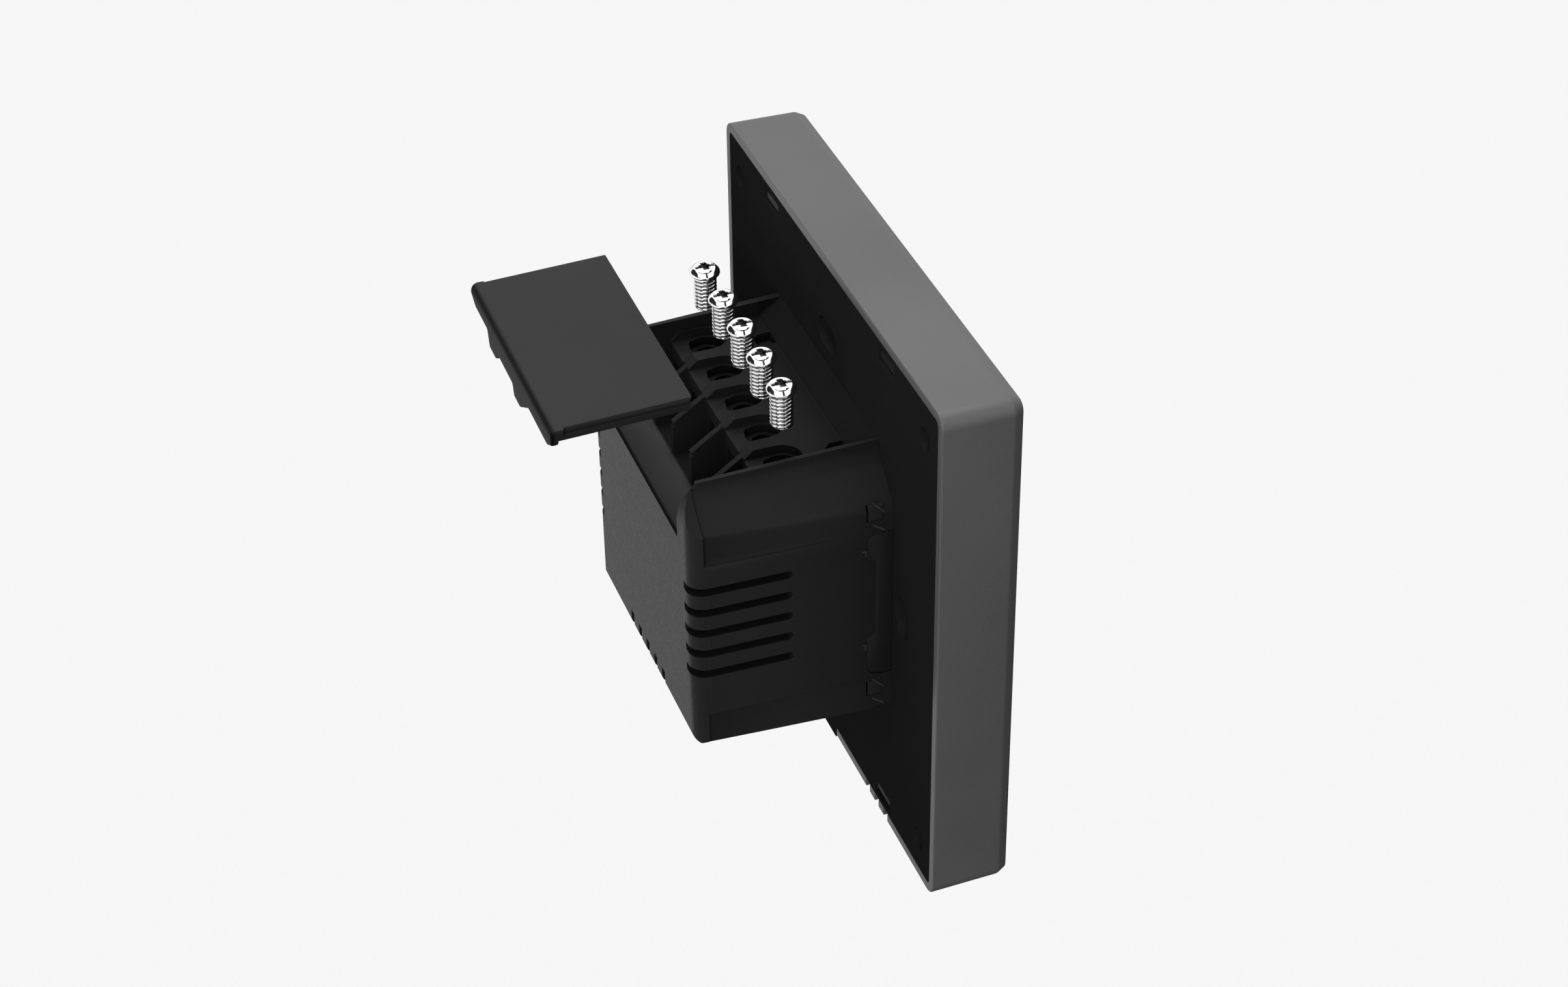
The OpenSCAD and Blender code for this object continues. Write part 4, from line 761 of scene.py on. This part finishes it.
def make_smooth_tree():
    """Modifier tree: smooth faces, sharp edges where two faces meet at more than the given angle."""
    tree = bpy.data.node_groups.new("smooth_by_angle", "GeometryNodeTree")
    tree.interface.new_socket("Geometry", in_out="INPUT", socket_type="NodeSocketGeometry")
    angle = tree.interface.new_socket("Angle", in_out="INPUT", socket_type="NodeSocketFloat")
    angle.default_value = math.radians(31)
    tree.interface.new_socket("Geometry", in_out="OUTPUT", socket_type="NodeSocketGeometry")
    gi, go = tree.nodes.new("NodeGroupInput"), tree.nodes.new("NodeGroupOutput")
    edge = tree.nodes.new("GeometryNodeInputMeshEdgeAngle")
    flat = put(tree, "FunctionNodeCompare", {0: edge.outputs["Unsigned Angle"], 1: gi.outputs["Angle"]},
               data_type="FLOAT", operation="LESS_EQUAL")
    faces = put(tree, "GeometryNodeSetShadeSmooth", {"Geometry": gi.outputs["Geometry"],
                                                     "Shade Smooth": True}, domain="FACE")
    edges = put(tree, "GeometryNodeSetShadeSmooth", {"Geometry": faces.outputs[0],
                                                     "Shade Smooth": flat.outputs[0]}, domain="EDGE")
    tree.links.new(edges.outputs[0], go.inputs[0])
    return tree


def dress_nodes():
    """Gives each CAD node its material, and smooth curved faces by modifiers."""
    slot_of = {part["node"]: part["material_slot"] for part in frame["record"]["subparts"]}
    smooth_tree = make_smooth_tree()
    for name, obj in frame["nodes"].items():
        if obj.hide_render:
            continue
        obj.data.materials.clear()
        obj.data.materials.append(BASE_PLATE if name == "base_plate" else SLOTS[slot_of[name]])
        weld = obj.modifiers.new("weld", "WELD")
        weld.merge_threshold = 0.004 * MM
        obj.modifiers.new("smooth", "NODES").node_group = smooth_tree
        normal = obj.modifiers.new("normal", "WEIGHTED_NORMAL")
        normal.keep_sharp = True
        normal.weight = 100


# Light and ground

def soft_light(name, place, size, power):
    """A square soft box that faces the panel. Two of its sides are level, or square to Y where it hangs
    overhead."""
    data = bpy.data.lights.new(name, "AREA")
    data.shape = "SQUARE"
    data.size = size
    data.energy = power
    obj = bpy.data.objects.new(name, data)
    z = np.array(place) / np.linalg.norm(place)
    overhead = z[2] > 0.98
    x = np.cross([0, 1, 0] if overhead else [0, 0, 1], z)
    x /= np.linalg.norm(x)
    y = np.cross(z, x)
    obj.matrix_world = Matrix([[x[i], y[i], z[i], place[i]] for i in range(3)] + [[0, 0, 0, 1]])
    bpy.context.scene.collection.objects.link(obj)


def add_ground():
    """A wide pale floor far below, which the camera sees in one even tone."""
    half, depth = 6.0, -0.6
    mesh = bpy.data.meshes.new("floor")
    corners = [(-half, -half, depth), (half, -half, depth), (half, half, depth), (-half, half, depth)]
    mesh.from_pydata(corners, [], [(0, 1, 2, 3)])
    obj = bpy.data.objects.new("floor", mesh)
    bpy.context.scene.collection.objects.link(obj)
    mat = bpy.data.materials.new("floor")
    mat.use_nodes = True
    tree = mat.node_tree
    tree.nodes.clear()
    coord = put(tree, "ShaderNodeTexCoord").outputs["Object"]
    noise = put(tree, "ShaderNodeTexNoise", {"Vector": coord, "Scale": 900.0, "Detail": 2.0})
    tone = remap(tree, noise.outputs["Fac"], 0.3, 0.7, 0.915, 0.935)
    grey = put(tree, "ShaderNodeCombineColor", {0: tone, 1: tone, 2: tone})
    glow = put(tree, "ShaderNodeEmission", {"Color": grey.outputs[0], "Strength": 1.0})
    dull = put(tree, "ShaderNodeBsdfDiffuse", {"Color": (0.7, 0.7, 0.7, 1)})
    path = put(tree, "ShaderNodeLightPath")
    mix = put(tree, "ShaderNodeMixShader", {0: path.outputs["Is Camera Ray"], 1: dull.outputs[0],
                                            2: glow.outputs[0]})
    put(tree, "ShaderNodeOutputMaterial", {"Surface": mix.outputs[0]})
    mesh.materials.append(mat)
    obj.visible_diffuse = False
    obj.visible_glossy = False


def studio_level(tree):
    """What shiny surfaces mirror: soft boxes and dark screens round the panel. ahead is the way that the
    picture looks, and aside is to its right."""
    way = put(tree, "ShaderNodeTexCoord").outputs["Generated"]
    z = split(tree, way)["Z"]

    def along(direction):
        """How far the mirrored way goes in a direction."""
        dot = put(tree, "ShaderNodeVectorMath", {0: way, 1: direction}, operation="DOT_PRODUCT")
        return dot.outputs["Value"]

    def over(value, edge, soft=0.03):
        """1 above the edge, 0 below it."""
        return remap(tree, value, edge - soft, edge + soft, 0.0, 1.0)

    def under(value, edge, soft=0.03):
        """1 below the edge, 0 above it."""
        return remap(tree, value, edge - soft, edge + soft, 1.0, 0.0)

    ahead, aside = along((0.942, -0.336, 0)), along((-0.345, -0.939, 0))
    low = under(z, -0.12, 0.06)
    high = over(z, -0.12, 0.06)
    white = times(tree, low, over(z, -0.75), under(aside, -0.35, 0.06))
    grey = times(tree, low, over(z, -0.72), under(ahead, -0.5, 0.05), over(aside, -0.5),
                 under(aside, 0.56, 0.06))
    overhead = over(z, 0.82, 0.02)
    right = times(tree, under(z, 0.5), over(aside, 0.1), over(ahead, -0.3), under(ahead, 0.4))
    left = times(tree, over(z, 0.0), under(z, 0.6), under(aside, -0.72))
    tilt = math_node(tree, "ABSOLUTE", add(tree, aside, times(tree, ahead, 0.35)))
    gap = times(tree, under(tilt, 0.11, 0.015), under(ahead, -0.2), over(z, 0.1), under(z, 0.82))
    dark = greatest(tree, overhead, right, left, gap)
    sky = times(tree, high, math_node(tree, "SUBTRACT", 1.0, dark))
    return add(tree, times(tree, sky, 1.1), times(tree, white, 0.95), times(tree, grey, 0.5), 0.02)


def add_world():
    """Studio surroundings: even and dim for matt surfaces, pale where the camera sees past the floor, and
    soft boxes and dark screens for shiny ones."""
    world = bpy.data.worlds.new("studio")
    bpy.context.scene.world = world
    world.use_nodes = True
    tree = world.node_tree
    tree.nodes.clear()
    path = put(tree, "ShaderNodeLightPath")
    seen = put(tree, "ShaderNodeBackground", {"Color": (0.925, 0.925, 0.925, 1), "Strength": 1.0})
    dim = put(tree, "ShaderNodeBackground", {"Color": (1, 1, 1, 1), "Strength": 0.10})
    shiny = put(tree, "ShaderNodeBackground", {"Color": (1, 1, 1, 1), "Strength": studio_level(tree)})
    near = put(tree, "ShaderNodeMixShader", {0: path.outputs["Is Glossy Ray"], 1: dim.outputs[0],
                                             2: shiny.outputs[0]})
    mix = put(tree, "ShaderNodeMixShader", {0: path.outputs["Is Camera Ray"], 1: near.outputs[0],
                                            2: seen.outputs[0]})
    put(tree, "ShaderNodeOutputWorld", {"Surface": mix.outputs[0]})


add_camera()
add_world()
add_ground()
soft_light("top_light", (0.15, 0.05, 0.9), 0.7, 6.4)
soft_light("side_light", (-0.74, 0.50, 0.28), 0.6, 3.75)
soft_light("rear_light", (0.1, 0.9, 0.1), 0.5, 0.35)

build_frame_shell()
build_touch_glass()
for pole in range(POLES):
    build_screw(pole, POLE_MIDDLE + (pole - (POLES - 1) / 2) * POLE_PITCH)
build_cover()
build_side_clips(1, "vented")
build_side_clips(-1, "plain")
dress_nodes()

scene = bpy.context.scene
scene.view_settings.view_transform = "Standard"
scene.view_settings.look = "None"
